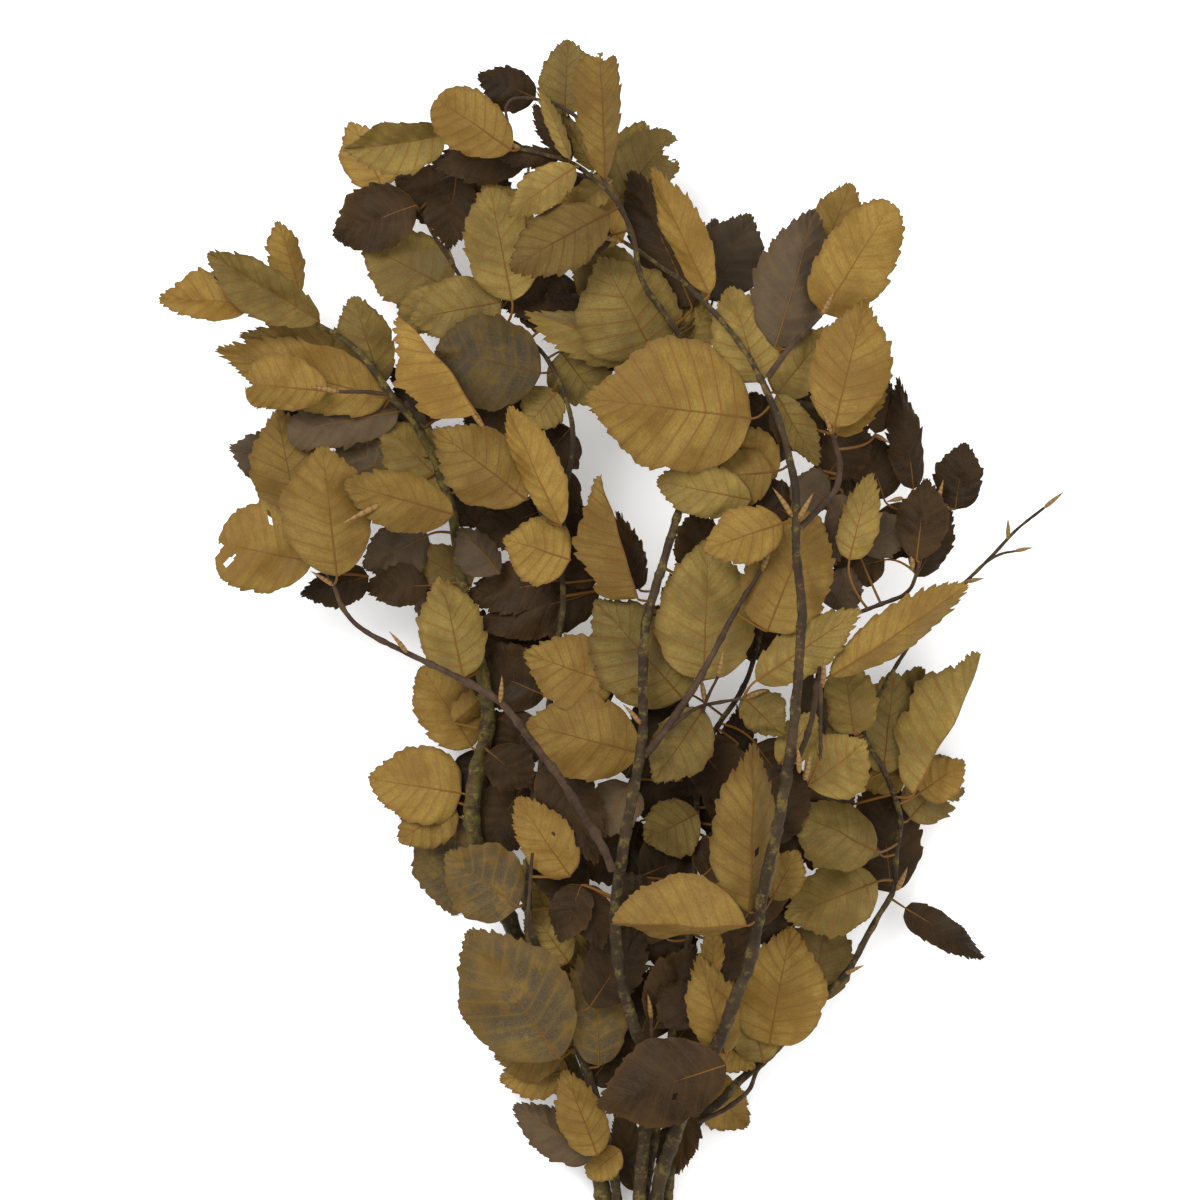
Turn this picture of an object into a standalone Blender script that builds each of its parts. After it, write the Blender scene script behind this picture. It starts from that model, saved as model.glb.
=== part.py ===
"""Preserved beech branches in leaf: a cut bunch lying on its side.

The bunch lies along +Y with its cut ends at -Y, and the surface it lies on is z = 0. Every branch
and twig is one tapered, crooked rod of wood. Every leaf is one thin solid: a blade with its stalk,
folded along the midrib, bent along its length and rolled about it. All sizes are metres; the
schedules of routes and leaves are in millimetres, measured from where the bunch is gripped.
"""

from collections import namedtuple
import math

import bpy
import numpy as np
from mathutils.bvhtree import BVHTree

MM = 0.001

# The grip's zero point, seen from the centre of the bunch's footprint.
GRIP_X = 15.1
GRIP_Y = -271.2

# Wood
ROD_SIDES = 6
RING_SPACING = 17.0
FORK_GAP = 0.5

# Leaf
BLADE_THICKNESS = 0.6
STALK_WIDTH = 1.5
STALK_THICKNESS = 1.1
STALK_ROWS = 2
UPRIGHT_STALK = 0.35
BLADE_ROWS = 6
NARROW_BLADE = 29.0
OUTLINE_BASE_POWER = 0.55
OUTLINE_TIP_POWER = 0.75
MARGIN_CURL_DEG = 14.0
CLEARANCE = 0.35
LARGEST_NUDGE = 30

Wood = namedtuple("Wood", "name colour radii route")
Leaf = namedtuple("Leaf", "name base tip height rise width roll fold bend tone")

# Each route runs from the cut end or the fork to the twig's end: x, y and height of the centre line.
# The radii are those of the first, the middle and the last point.
WOOD = (
    Wood("branch_centre", "bark", (3.9, 2.8, 1.1), (
        (2, -92, 12.8), (4, -45, 14.5), (6, 0, 21), (9, 40, 33), (9, 74, 45), (3, 92, 53), (-3, 112, 62),
        (-7, 135, 71), (-8, 160, 80), (-5, 185, 88), (-1, 210, 94), (4, 236, 99), (7, 258, 102),
        (7, 290, 106), (9, 318, 108), (18, 350, 106), (27, 380, 100), (34, 405, 94), (38, 435, 91),
        (35, 460, 93), (28, 474, 96), (18, 488, 101), (8, 502, 106), (4, 514, 109), (2, 527, 111),
        (-3, 540, 112), (-10, 551, 112), (-20, 560, 112), (-30, 568, 111), (-44, 573, 109), (-60, 577, 107))),
    Wood("branch_right", "bark", (4.3, 3.0, 1.0), (
        (10, -84, 4.4), (13, -40, 9), (16, 0, 22), (24, 28, 37), (36, 60, 54), (50, 88, 69), (58, 110, 81),
        (66, 132, 93), (70, 155, 105), (74, 178, 114), (80, 205, 121), (85, 233, 126), (89, 262, 130),
        (92, 302, 134), (93, 328, 137), (90, 355, 139), (90, 384, 140), (87, 404, 140), (80, 429, 138),
        (69, 454, 133), (60, 469, 129), (50, 482, 124), (40, 493, 117), (29, 504, 108), (18, 512, 100),
        (6, 521, 93), (-6, 529, 88), (-16, 540, 84))),
    Wood("branch_low_right", "bark", (3.4, 1.7, 0.8), (
        (19, -70, 3.6), (21, -35, 5), (22, 0, 9), (26, 20, 13), (38, 37, 17), (52, 50, 20), (63, 62, 22),
        (76, 73, 24), (92, 89, 26), (105, 104, 28), (120, 120, 30), (126, 129, 31), (132, 141, 32),
        (140, 155, 33), (147, 168, 34), (149, 190, 37), (151, 208, 40), (147, 222, 43), (140, 238, 47),
        (130, 257, 53), (139, 278, 56), (150, 297, 59), (163, 316, 62), (186, 340, 66), (200, 354, 68),
        (214, 369, 70), (229, 381, 72))),
    Wood("branch_left", "moss", (4.8, 4.3, 0.9), (
        (-10, -95, 4.9), (-12, -40, 6), (-17, 10, 9), (-27, 50, 13), (-42, 95, 19), (-58, 130, 25),
        (-72, 162, 32), (-84, 190, 38), (-88, 212, 42), (-85, 235, 46), (-80, 254, 50), (-79, 272, 53),
        (-84, 300, 57), (-92, 334, 62), (-96, 365, 67), (-101, 388, 72), (-110, 412, 76), (-121, 431, 79),
        (-131, 442, 81), (-140, 455, 83), (-152, 469, 84), (-165, 478, 85), (-180, 485, 86), (-201, 491, 87))),
    Wood("branch_inner_left", "bark", (3.2, 1.9, 0.9), (
        (-1, -78, 3.6), (-4, -30, 8), (-10, 15, 17), (-20, 55, 26), (-34, 95, 34), (-47, 125, 40),
        (-56, 152, 46), (-55, 190, 52), (-50, 230, 56), (-45, 268, 60), (-40, 305, 66), (-37, 330, 72),
        (-38, 352, 76), (-36, 388, 81), (-32, 410, 84), (-32, 428, 86), (-38, 448, 85), (-48, 466, 79),
        (-62, 478, 71), (-78, 490, 63), (-91, 505, 57), (-100, 519, 52), (-109, 533, 49), (-117, 547, 46),
        (-126, 555, 44))),
    Wood("branch_inner_right", "bark", (2.9, 1.9, 1.1), (
        (4, -50, 3.2), (6, -30, 4.5), (10, 5, 12), (17, 45, 29), (24, 90, 38), (31, 130, 42), (35, 160, 44),
        (37, 200, 48), (39, 242, 54), (50, 262, 60), (61, 278, 64), (68, 295, 68), (72, 314, 72),
        (70, 335, 77), (67, 353, 81), (61, 372, 86), (54, 392, 90))),
    Wood("twig_long_left", "young", (2.5, 1.8, 0.9), (
        (-9.4, 181.6, 92), (-14, 192, 96), (-22, 207, 101), (-38, 232, 108), (-51, 249, 112), (-71, 274, 115),
        (-95, 288, 114), (-122, 301, 108), (-147, 314, 100), (-158, 326, 94), (-163, 338, 88),
        (-170, 351, 79), (-177, 364, 70))),
    Wood("twig_centre_fork", "young", (2.2, 1.8, 1.1), (
        (9.8, 246.8, 105), (14, 252, 107), (20, 260, 109), (33, 279, 110), (45, 300, 112), (57, 323, 114),
        (67, 339, 115), (71, 346, 115))),
    Wood("twig_top_hook", "young", (1.4, 1.1, 0.7), (
        (-12.6, 555.8, 115.6), (-17, 566, 118), (-22, 580, 117), (-27, 592, 113), (-43, 602, 108),
        (-62, 605, 104), (-68, 600, 102), (-67, 592, 101))),
    Wood("twig_upper_right", "young", (1.8, 1.4, 1.0), (
        (74.8, 451, 133), (79, 457, 132), (88, 469, 129), (97, 478, 126), (104, 485, 124))),
    Wood("twig_right_fork", "young", (1.8, 1.8, 1.1), (
        (92.7, 369.6, 135.8), (97, 374, 133), (105, 382, 130), (112, 391, 128), (114, 404, 128), (110, 420, 129))),
    Wood("twig_far_right", "young", (1.6, 1.3, 0.8), (
        (89.4, 241.6, 122), (94, 249, 117), (100, 267, 108), (103, 288, 100), (107, 306, 95), (118, 319, 92),
        (136, 327, 92), (152, 334, 94), (158, 347, 96), (162, 365, 96), (168, 382, 95))),
    Wood("twig_left_upper", "young", (1.2, 1.1, 0.9), (
        (-134.8, 443.2, 85.6), (-144, 444.5, 88), (-153, 444.5, 90), (-160, 444.5, 91))),
    Wood("twig_left_lower", "young", (1.3, 1.2, 0.8), (
        (-103.2, 380.4, 75.4), (-108, 377, 80), (-116, 379, 90), (-126, 381, 98), (-136, 383, 103))),
    Wood("twig_left_inner", "young", (1.5, 1.3, 1.0), (
        (-41, 357.8, 79.6), (-44, 366, 84), (-50, 381, 90), (-58, 397, 94), (-68, 412, 95), (-80, 424, 94))),
)

# Blade base and tip (x, y), height of the base, rise from base to tip, width; then, in degrees, the
# roll about the midrib (right side down), the fold of each half (up is positive) and the bend.
LEAVES = (
    Leaf("leaf_heart", (66, 429), (-25, 440), 123, 4, 75, 0, -5, 16, "ochre"),
    Leaf("leaf_top_right_1", (111, 424), (128, 494), 132, -2, 44, -6, 5, 14, "ochre"),
    Leaf("leaf_top_right_2", (105, 487), (144, 547), 118, 4, 44, 8, 6, 12, "ochre"),
    Leaf("leaf_top_right_3", (70, 449), (54, 502), 119, -3, 38, 5, 6, 18, "olive"),
    Leaf("leaf_top_right_4", (79, 468), (101, 544), 110, -12, 44, 8, -8, 20, "grey"),
    Leaf("leaf_top_1", (43, 497), (12, 566), 121, 8, 27, -25, -18, 12, "ochre"),
    Leaf("leaf_top_2", (-9, 548), (24, 589), 76, -24, 34, 4, 6, 10, "olive"),
    Leaf("leaf_top_3", (-14, 560), (-17, 628), 123, 14, 29, 22, -14, 10, "ochre"),
    Leaf("leaf_top_4", (-36, 596), (-34, 638), 98, -8, 31, -4, 5, 20, "olive"),
    Leaf("leaf_top_5", (-12, 541), (-66, 510), 120, 4, 38, 8, -8, 26, "ochre"),
    Leaf("leaf_top_6", (-65, 576), (-106, 604), 112, 2, 36, 4, -8, 16, "ochre"),
    Leaf("leaf_top_7", (-138, 560), (-156, 599), 36, -36, 34, 6, 4, 12, "ochre"),
    Leaf("leaf_top_8", (-119, 549), (-165, 532), 56, -8, 38, 6, 8, 24, "umber"),
    Leaf("leaf_top_9", (12, 466), (-17, 520), 97, 0, 60, 8, -6, 18, "olive"),
    Leaf("leaf_left_2", (-84, 432), (-126, 487), 96, 4, 56, 60, -58, 12, "ochre"),
    Leaf("leaf_left_1", (-49, 455), (-108, 468), 88, -4, 54, 4, -6, 20, "mottled"),
    Leaf("leaf_left_3", (-57, 385), (-108, 424), 100, 0, 44, 8, -8, 16, "ochre"),
    Leaf("leaf_left_4", (-134, 441), (-229, 469), 76, -6, 38, -8, 8, 14, "ochre"),
    Leaf("leaf_left_5", (-166, 445), (-211, 449), 93, 4, 34, -14, -14, 8, "ochre"),
    Leaf("leaf_left_6", (-171, 484), (-232, 521), 88, 4, 34, -14, 36, 12, "olive"),
    Leaf("leaf_left_7", (-209, 492), (-260, 496), 88, -6, 32, 20, 30, 18, "ochre"),
    Leaf("leaf_left_8", (-161, 343), (-169, 415), 97, 2, 52, 4, -6, 18, "ochre"),
    Leaf("leaf_left_9", (-175, 351), (-228, 362), 84, -8, 50, -4, 4, 30, "ochre"),
    Leaf("leaf_left_10", (-183, 372), (-196, 436), 62, -6, 46, -4, 4, 16, "ochre"),
    Leaf("leaf_left_11", (-97, 377), (-157, 394), 98, 6, 36, 4, -16, 10, "ochre"),
    Leaf("leaf_middle_1", (83, 372), (40, 357), 126, 2, 32, 4, -5, 18, "ochre"),
    Leaf("leaf_middle_2", (4, 331), (-18, 398), 98, 4, 46, 48, -46, 10, "ochre"),
    Leaf("leaf_middle_3", (29, 276), (-20, 331), 92, -4, 54, 0, -6, 16, "olive"),
    Leaf("leaf_middle_4", (40, 286), (43, 364), 99, -2, 54, 4, 6, 12, "olive"),
    Leaf("leaf_middle_5", (5, 246), (-57, 262), 88, 0, 50, -4, -6, 18, "ochre"),
    Leaf("leaf_right_1", (110, 288), (185, 339), 104, -4, 31, 22, -22, 14, "ochre"),
    Leaf("leaf_right_2", (158, 222), (197, 300), 47, 4, 54, 48, -46, 12, "olive"),
    Leaf("leaf_right_3", (157, 208), (184, 237), 28, -28, 34, 4, 4, 10, "olive"),
    Leaf("leaf_right_4", (140, 188), (111, 228), 44, 6, 64, 48, -46, 12, "olive"),
    Leaf("leaf_right_5", (138, 173), (86, 153), 42, 6, 40, 4, -6, 20, "olive"),
    Leaf("leaf_right_6", (154, 158), (199, 129), 34, -14, 22, -12, -22, 16, "umber"),
    Leaf("leaf_right_7", (157, 352), (163, 397), 100, -2, 30, -8, -8, 14, "umber"),
    Leaf("leaf_low_1", (65, 159), (66, 252), 118, 12, 44, 20, -18, 14, "ochre"),
    Leaf("leaf_low_2", (64, 152), (-10, 154), 112, -4, 58, -34, -36, 12, "ochre"),
    Leaf("leaf_low_3", (53, 73), (-18, 50), 72, -6, 50, 2, -6, 18, "umber"),
    Leaf("leaf_low_4", (-39, 75), (-90, 147), 48, 8, 62, -4, 6, 14, "mottled"),
    Leaf("leaf_low_5", (-96, 208), (-101, 152), 26, -24, 46, 4, 5, 10, "mottled"),
    Leaf("leaf_low_6", (-62, 160), (-102, 190), 62, 4, 46, 4, -8, 24, "mottled"),
    Leaf("leaf_low_7", (-94, 222), (-146, 230), 32, -4, 44, 4, 6, 16, "ochre"),
)

# Leaves at the back whose tips the bunch rests on.
RESTING_LEAVES = ("leaf_top_7", "leaf_right_3", "leaf_low_5")

TONES = {
    "ochre": ((0.36, 0.22, 0.055), 0.6),
    "olive": ((0.25, 0.18, 0.06), 0.6),
    "umber": ((0.07, 0.045, 0.025), 0.55),
    "grey": ((0.12, 0.09, 0.065), 0.6),
    "mottled": ((0.17, 0.135, 0.075), 0.65),
    "bark": ((0.085, 0.06, 0.045), 0.8),
    "moss": ((0.16, 0.14, 0.06), 0.9),
    "young": ((0.1, 0.055, 0.035), 0.65),
}


def clear_scene():
    """Remove whatever the scene holds."""
    for old in list(bpy.data.objects):
        bpy.data.objects.remove(old)


def unit(vectors):
    """Scale vectors, one to a row, to length one."""
    return vectors / np.linalg.norm(vectors, axis=-1, keepdims=True)


def smooth_route(points, spacing):
    """Read a Catmull-Rom curve through the points at about the given spacing."""
    points = np.array(points, dtype=float)
    before = 2 * points[0] - points[1]
    after = 2 * points[-1] - points[-2]
    padded = np.vstack([before, points, after])
    samples = [points[:1]]
    for index in range(len(points) - 1):
        p0, p1, p2, p3 = padded[index:index + 4]
        count = max(1, round(float(np.linalg.norm(p2 - p1)) / spacing))
        u = (np.arange(1, count + 1) / count)[:, None]
        curve = 2 * p1 + (p2 - p0) * u
        curve = curve + (2 * p0 - 5 * p1 + 4 * p2 - p3) * u**2
        curve = curve + (3 * p1 - p0 - 3 * p2 + p3) * u**3
        samples.append(curve / 2)
    return np.vstack(samples)


def taper(radii, centres):
    """Radius at each point: straight from first to middle and from middle to last, by length."""
    steps = np.linalg.norm(np.diff(centres, axis=0), axis=1)
    along = np.concatenate([[0.0], np.cumsum(steps)])
    return np.interp(along / along[-1], (0.0, 0.5, 1.0), radii)


def rod(wood):
    """A many-sided tube around the route, with flat ends: its points and faces."""
    centres = smooth_route(wood.route, RING_SPACING)
    radius = taper(wood.radii, centres)[:, None, None]
    ahead = unit(np.gradient(centres, axis=0))
    side = unit(np.cross(ahead, (0.0, 0.0, 1.0)))
    up = np.cross(side, ahead)
    turn = np.linspace(0.0, 2 * math.pi, ROD_SIDES, endpoint=False)[None, :, None]
    ring = np.cos(turn) * side[:, None] + np.sin(turn) * up[:, None]
    points = (centres[:, None] + radius * ring).reshape(-1, 3)
    faces = [tuple(range(ROD_SIDES))]
    for row in range(len(centres) - 1):
        start = row * ROD_SIDES
        for corner in range(ROD_SIDES):
            a = start + corner
            b = start + (corner + 1) % ROD_SIDES
            faces.append((a, a + ROD_SIDES, b + ROD_SIDES, b))
    faces.append(tuple(reversed(range(len(points) - ROD_SIDES, len(points)))))
    return points, faces


def outline(along):
    """Half-width of a beech blade as a share of its widest: a power of s times a power of 1 - s."""
    widest = OUTLINE_BASE_POWER / (OUTLINE_BASE_POWER + OUTLINE_TIP_POWER)
    peak = widest**OUTLINE_BASE_POWER * (1 - widest)**OUTLINE_TIP_POWER
    return along**OUTLINE_BASE_POWER * (1 - along)**OUTLINE_TIP_POWER / peak


def blade_axes(leaf):
    """Chord from base to tip, then the leaf's right side and its upper face, after the roll."""
    chord = np.array([leaf.tip[0] - leaf.base[0], leaf.tip[1] - leaf.base[1], leaf.rise], dtype=float)
    ahead = chord / np.linalg.norm(chord)
    level = unit(np.cross(ahead, (0.0, 0.0, 1.0)))
    upright = np.cross(level, ahead)
    roll = math.radians(leaf.roll)
    right = math.cos(roll) * level - math.sin(roll) * upright
    face = math.cos(roll) * upright + math.sin(roll) * level
    return chord, ahead, right, face


def blade_grid(leaf, base, along, across):
    """Points of the blade's middle sheet, one row for each place along the midrib.

    The midrib is an arc over the chord. Each half leaves it at the fold angle and curls on at a
    steady rate, so across the half the sheet is an arc too.
    """
    chord, ahead, right, face = blade_axes(leaf)
    length = np.linalg.norm(chord)
    bend = math.radians(leaf.bend)
    radius = length / (2 * math.sin(bend / 2))
    turn = bend * (along - 0.5)
    forward = length / 2 + radius * np.sin(turn)
    rise = radius * (np.cos(turn) - math.cos(bend / 2))
    midrib = base + forward[:, None] * ahead + rise[:, None] * face
    lift = np.cos(turn)[:, None] * face + np.sin(turn)[:, None] * ahead
    half_width = np.maximum(leaf.width / 2 * outline(along), STALK_WIDTH / 2)
    fold = math.radians(leaf.fold)
    curl = -math.radians(MARGIN_CURL_DEG)
    reach = np.abs(across)
    out = np.sign(across) * (np.sin(fold + curl * reach) - math.sin(fold)) / curl
    high = -(np.cos(fold + curl * reach) - math.cos(fold)) / curl
    sheet = midrib[:, None] + (half_width[:, None] * out)[..., None] * right
    return sheet + (half_width[:, None] * high)[..., None] * lift[:, None]


def stalk_grid(leaf, root, base, across):
    """Points of the stalk's middle sheet, on a curve that leaves the twig and ends along the midrib.

    The sheet lies square to the blade's face. Where the stalk stands up from the blade or runs
    backwards, it keeps to the blade's right, so that it never turns over on its way to the base.
    """
    chord, ahead, right, face = blade_axes(leaf)
    pull = base - ahead * 0.4 * np.linalg.norm(base - root)
    u = (np.arange(STALK_ROWS) / STALK_ROWS)[:, None]
    centres = (1 - u)**2 * root + 2 * u * (1 - u) * pull + u**2 * base
    heading = unit(2 * (1 - u) * (pull - root) + 2 * u * (base - pull))
    side = np.cross(heading, face)
    upright = np.linalg.norm(side, axis=1, keepdims=True) < UPRIGHT_STALK
    side = unit(np.where(upright, right, side))
    side = np.where((side @ right < -0.5)[:, None], -side, side)
    return centres[:, None] + (across * STALK_WIDTH / 2)[None, :, None] * side[:, None]


def leaf_solid(leaf, base, root, spare=0.0):
    """A closed thin solid around the stalk and blade sheets, with spare thickness if asked."""
    columns = 3 if leaf.width < NARROW_BLADE else 5
    across = np.linspace(-1.0, 1.0, columns)
    along = np.linspace(0.02, 0.985, BLADE_ROWS)
    sheet = np.vstack([stalk_grid(leaf, root, base, across), blade_grid(leaf, base, along, across)])
    rows = len(sheet)
    down_rows = np.gradient(sheet, axis=0)
    over_columns = np.gradient(sheet, axis=1)
    normal = unit(np.cross(over_columns, down_rows))
    thickness = np.full(rows, BLADE_THICKNESS)
    thickness[:STALK_ROWS] = STALK_THICKNESS
    offset = normal * ((thickness + spare) / 2)[:, None, None]
    points = np.vstack([(sheet + offset).reshape(-1, 3), (sheet - offset).reshape(-1, 3)])
    return points, sheet_faces(rows, columns)


def sheet_faces(rows, columns):
    """Faces of a closed solid made of an upper and a lower grid."""
    under = rows * columns
    faces = []
    for row in range(rows - 1):
        for column in range(columns - 1):
            a = row * columns + column
            b = a + columns
            faces.append((a, a + 1, b + 1, b))
            faces.append((under + a, under + b, under + b + 1, under + a + 1))
    first = list(range(columns))
    last = [(rows - 1) * columns + column for column in range(columns)]
    left = [row * columns for row in range(rows)]
    right = [row * columns + columns - 1 for row in range(rows)]
    loop = first + right[1:] + last[-2::-1] + left[-2:0:-1]
    for a, b in zip(loop, loop[1:] + loop[:1]):
        faces.append((b, a, under + a, under + b))
    return faces


def nearest_on_wood(centres, radii, point):
    """The spot on the bark that is nearest to a point, with the gap that parted pieces keep."""
    distance = np.linalg.norm(centres - point, axis=1)
    nearest = int(np.argmin(distance - radii))
    outward = (point - centres[nearest]) / distance[nearest]
    reach = min(radii[nearest] + FORK_GAP, distance[nearest] * 0.8)
    return centres[nearest] + outward * reach


def tree_of(points, faces):
    """A search tree over a solid's faces, for finding solids that meet."""
    return BVHTree.FromPolygons([tuple(point) for point in points], faces)


def nudges():
    """Height changes to try, smallest first: 0, 1, -1, 2, -2 and so on."""
    yield 0
    for step in range(1, LARGEST_NUDGE + 1):
        yield step
        yield -step


def place_leaf(leaf, centres, radii, placed):
    """Solid of a leaf at the free height nearest to its own, its stalk still on its twig."""
    height = leaf.height
    if leaf.name in RESTING_LEAVES:
        base = np.array([leaf.base[0], leaf.base[1], height], dtype=float)
        points, faces = leaf_solid(leaf, base, nearest_on_wood(centres, radii, base))
        height -= points[:, 2].min()
    for nudge in nudges():
        base = np.array([leaf.base[0], leaf.base[1], height + nudge], dtype=float)
        root = nearest_on_wood(centres, radii, base)
        swollen = tree_of(*leaf_solid(leaf, base, root, spare=2 * CLEARANCE))
        if not any(swollen.overlap(other) for other in placed):
            points, faces = leaf_solid(leaf, base, root)
            placed.append(tree_of(points, faces))
            return points, faces
    raise ValueError(f"{leaf.name} finds no free height near its own")


def finish(tone):
    """The plain finish of a tone, made once."""
    if tone in bpy.data.materials:
        return bpy.data.materials[tone]
    colour, roughness = TONES[tone]
    material = bpy.data.materials.new(tone)
    material.use_nodes = True
    shader = material.node_tree.nodes["Principled BSDF"]
    shader.inputs["Base Color"].default_value = (*colour, 1.0)
    shader.inputs["Roughness"].default_value = roughness
    shader.inputs["Metallic"].default_value = 0.0
    return material


def add_piece(name, points, faces, tone):
    """Put one solid, given in schedule millimetres, into the scene in metres."""
    placed = (points + np.array([GRIP_X, GRIP_Y, 0.0])) * MM
    mesh = bpy.data.meshes.new(name)
    mesh.from_pydata([tuple(point) for point in placed], [], faces)
    mesh.materials.append(finish(tone))
    mesh.shade_smooth()
    mesh.set_sharp_from_angle(angle=math.radians(50))
    piece = bpy.data.objects.new(name, mesh)
    bpy.context.scene.collection.objects.link(piece)


def main():
    clear_scene()
    centres = []
    radii = []
    placed = []
    for wood in WOOD:
        points, faces = rod(wood)
        add_piece(wood.name, points, faces, wood.colour)
        placed.append(tree_of(points, faces))
        line = smooth_route(wood.route, 2.0)
        centres.append(line)
        radii.append(taper(wood.radii, line))
    centres = np.vstack(centres)
    radii = np.concatenate(radii)
    for leaf in LEAVES:
        points, faces = place_leaf(leaf, centres, radii, placed)
        add_piece(leaf.name, points, faces, leaf.tone)


if __name__ == "__main__":
    main()
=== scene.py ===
"""Preserved beech branches in leaf: the fine surfaces and finishes of a cut bunch.

The bunch lies on z = 0 along +Y, its cut ends at -Y. The schedules of branches, leaves and buds are
in millimetres, measured from where the bunch is gripped; add_piece turns them into metres in the
frame. Every leaf of the frame is replaced by a blade with teeth, veins, a rib and a stalk, and the
smaller leaves, shoots and buds that the frame leaves out are added between them.
"""

from collections import namedtuple
import math

import bpy
import numpy as np
from bpy.props import FloatProperty, FloatVectorProperty, PointerProperty
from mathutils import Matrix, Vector
from mathutils.bvhtree import BVHTree


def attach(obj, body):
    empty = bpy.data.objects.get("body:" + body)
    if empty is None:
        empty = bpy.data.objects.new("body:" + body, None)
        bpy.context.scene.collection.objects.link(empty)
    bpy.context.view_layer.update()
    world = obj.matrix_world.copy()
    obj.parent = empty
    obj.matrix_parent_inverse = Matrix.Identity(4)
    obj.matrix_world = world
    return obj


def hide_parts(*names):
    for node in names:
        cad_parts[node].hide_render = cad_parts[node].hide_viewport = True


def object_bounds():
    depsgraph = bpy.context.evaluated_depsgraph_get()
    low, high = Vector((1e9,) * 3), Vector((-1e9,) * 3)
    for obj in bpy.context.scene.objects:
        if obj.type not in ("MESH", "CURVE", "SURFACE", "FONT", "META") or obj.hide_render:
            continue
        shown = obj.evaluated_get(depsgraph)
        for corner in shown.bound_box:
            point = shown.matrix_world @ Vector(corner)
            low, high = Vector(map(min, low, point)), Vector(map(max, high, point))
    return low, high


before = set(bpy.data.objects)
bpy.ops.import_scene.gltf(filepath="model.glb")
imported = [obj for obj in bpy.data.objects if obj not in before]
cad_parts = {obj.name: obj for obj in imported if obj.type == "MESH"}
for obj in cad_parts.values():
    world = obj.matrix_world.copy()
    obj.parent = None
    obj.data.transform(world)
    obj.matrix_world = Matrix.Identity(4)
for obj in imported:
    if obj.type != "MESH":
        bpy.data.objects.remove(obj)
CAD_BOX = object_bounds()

bl_info = {
    "name": "Preserved beech bunch",
    "version": (1, 0, 0),
    "blender": (4, 5, 0),
    "location": "3D View > Sidebar > Beech bunch",
    "description": "Fine leaves, bark and buds for a cut bunch of preserved beech branches",
    "category": "Add Mesh",
}

MM = 0.001
SHARP_FROM = 62
GRIP = np.array([15.1, -271.2, 0.0])

# The blade: what its stalk and its halves' curl have in the frame, and a more pointed outline
STALK_WIDTH = 1.5
MARGIN_CURL_DEG = 14.0
OUTLINE_BASE_POWER = 0.5
OUTLINE_TIP_POWER = 0.62
POINT_FROM = 0.6

# How far chance may take one leaf's outline from the usual one
POINT_SHARES = (0.2, 0.75)
BASE_POWER_SPREAD = (-0.1, 0.12)
UNEVEN_HALVES = 0.09
LOBE_RATES = (1.6, 2.7, 4.3)
LOBE_SWELL = 0.018

# Veins, and teeth in shares of the space between veins
VEIN_SWEEP = 1.8
VEIN_CURVE = 1.1
ROWS_PER_VEIN = 6
LAST_ROW = 0.985
TOOTH_DROP = 0.17
DEEPEST_TOOTH = 0.24
DEEPEST_NIBBLE = 0.05
NIBBLE_RATE = 23.7

# Out of plane: swings and swells per blade length, twist in degrees, tip in millimetres
FULL_SWING_WIDTH = 46
SWING_RATES = (1.3, 2.9)
BUCKLE_RATES = np.array([1.0, 1.7, 2.3])
MOST_TWIST = 16
TIP_TURNS = (-4.0, 6.0)
TIP_FROM = 0.72

# Places across one half of a wide blade and of a narrow one, as shares of the half
WIDE_FROM = 27
WIDE_HALF = (0, 0.12, 0.27, 0.42, 0.57, 0.72, 0.85, 0.94, 1)
NARROW_HALF = (0, 0.2, 0.45, 0.7, 0.88, 1)
RIB_ROWS = 16

# Bark: spacing of the rings, of the nodes, and the nodes' and scars' half lengths
RING_SPACING = 2.2
NODE_STEPS = (19, 36)
NODE_LENGTH = 1.7
SCAR_LENGTH = 3.0
THICK_FROM = 2.6

# Smaller leaves: how far one may be moved up or down to be free, and the floor's clearance
MOST_NUDGE = 27.0
FLOOR_CLEARANCE = 0.5

Wood = namedtuple("Wood", "name finish radii route")
Leaf = namedtuple("Leaf", "base tip height rise width tone roll fold bend torn tip_power shade",
                  defaults=(6, 8, 14, (), OUTLINE_TIP_POWER, None))
Bud = namedtuple("Bud", "base tip height rise radius")
Shell = namedtuple("Shell", "points faces marks tint")

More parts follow.
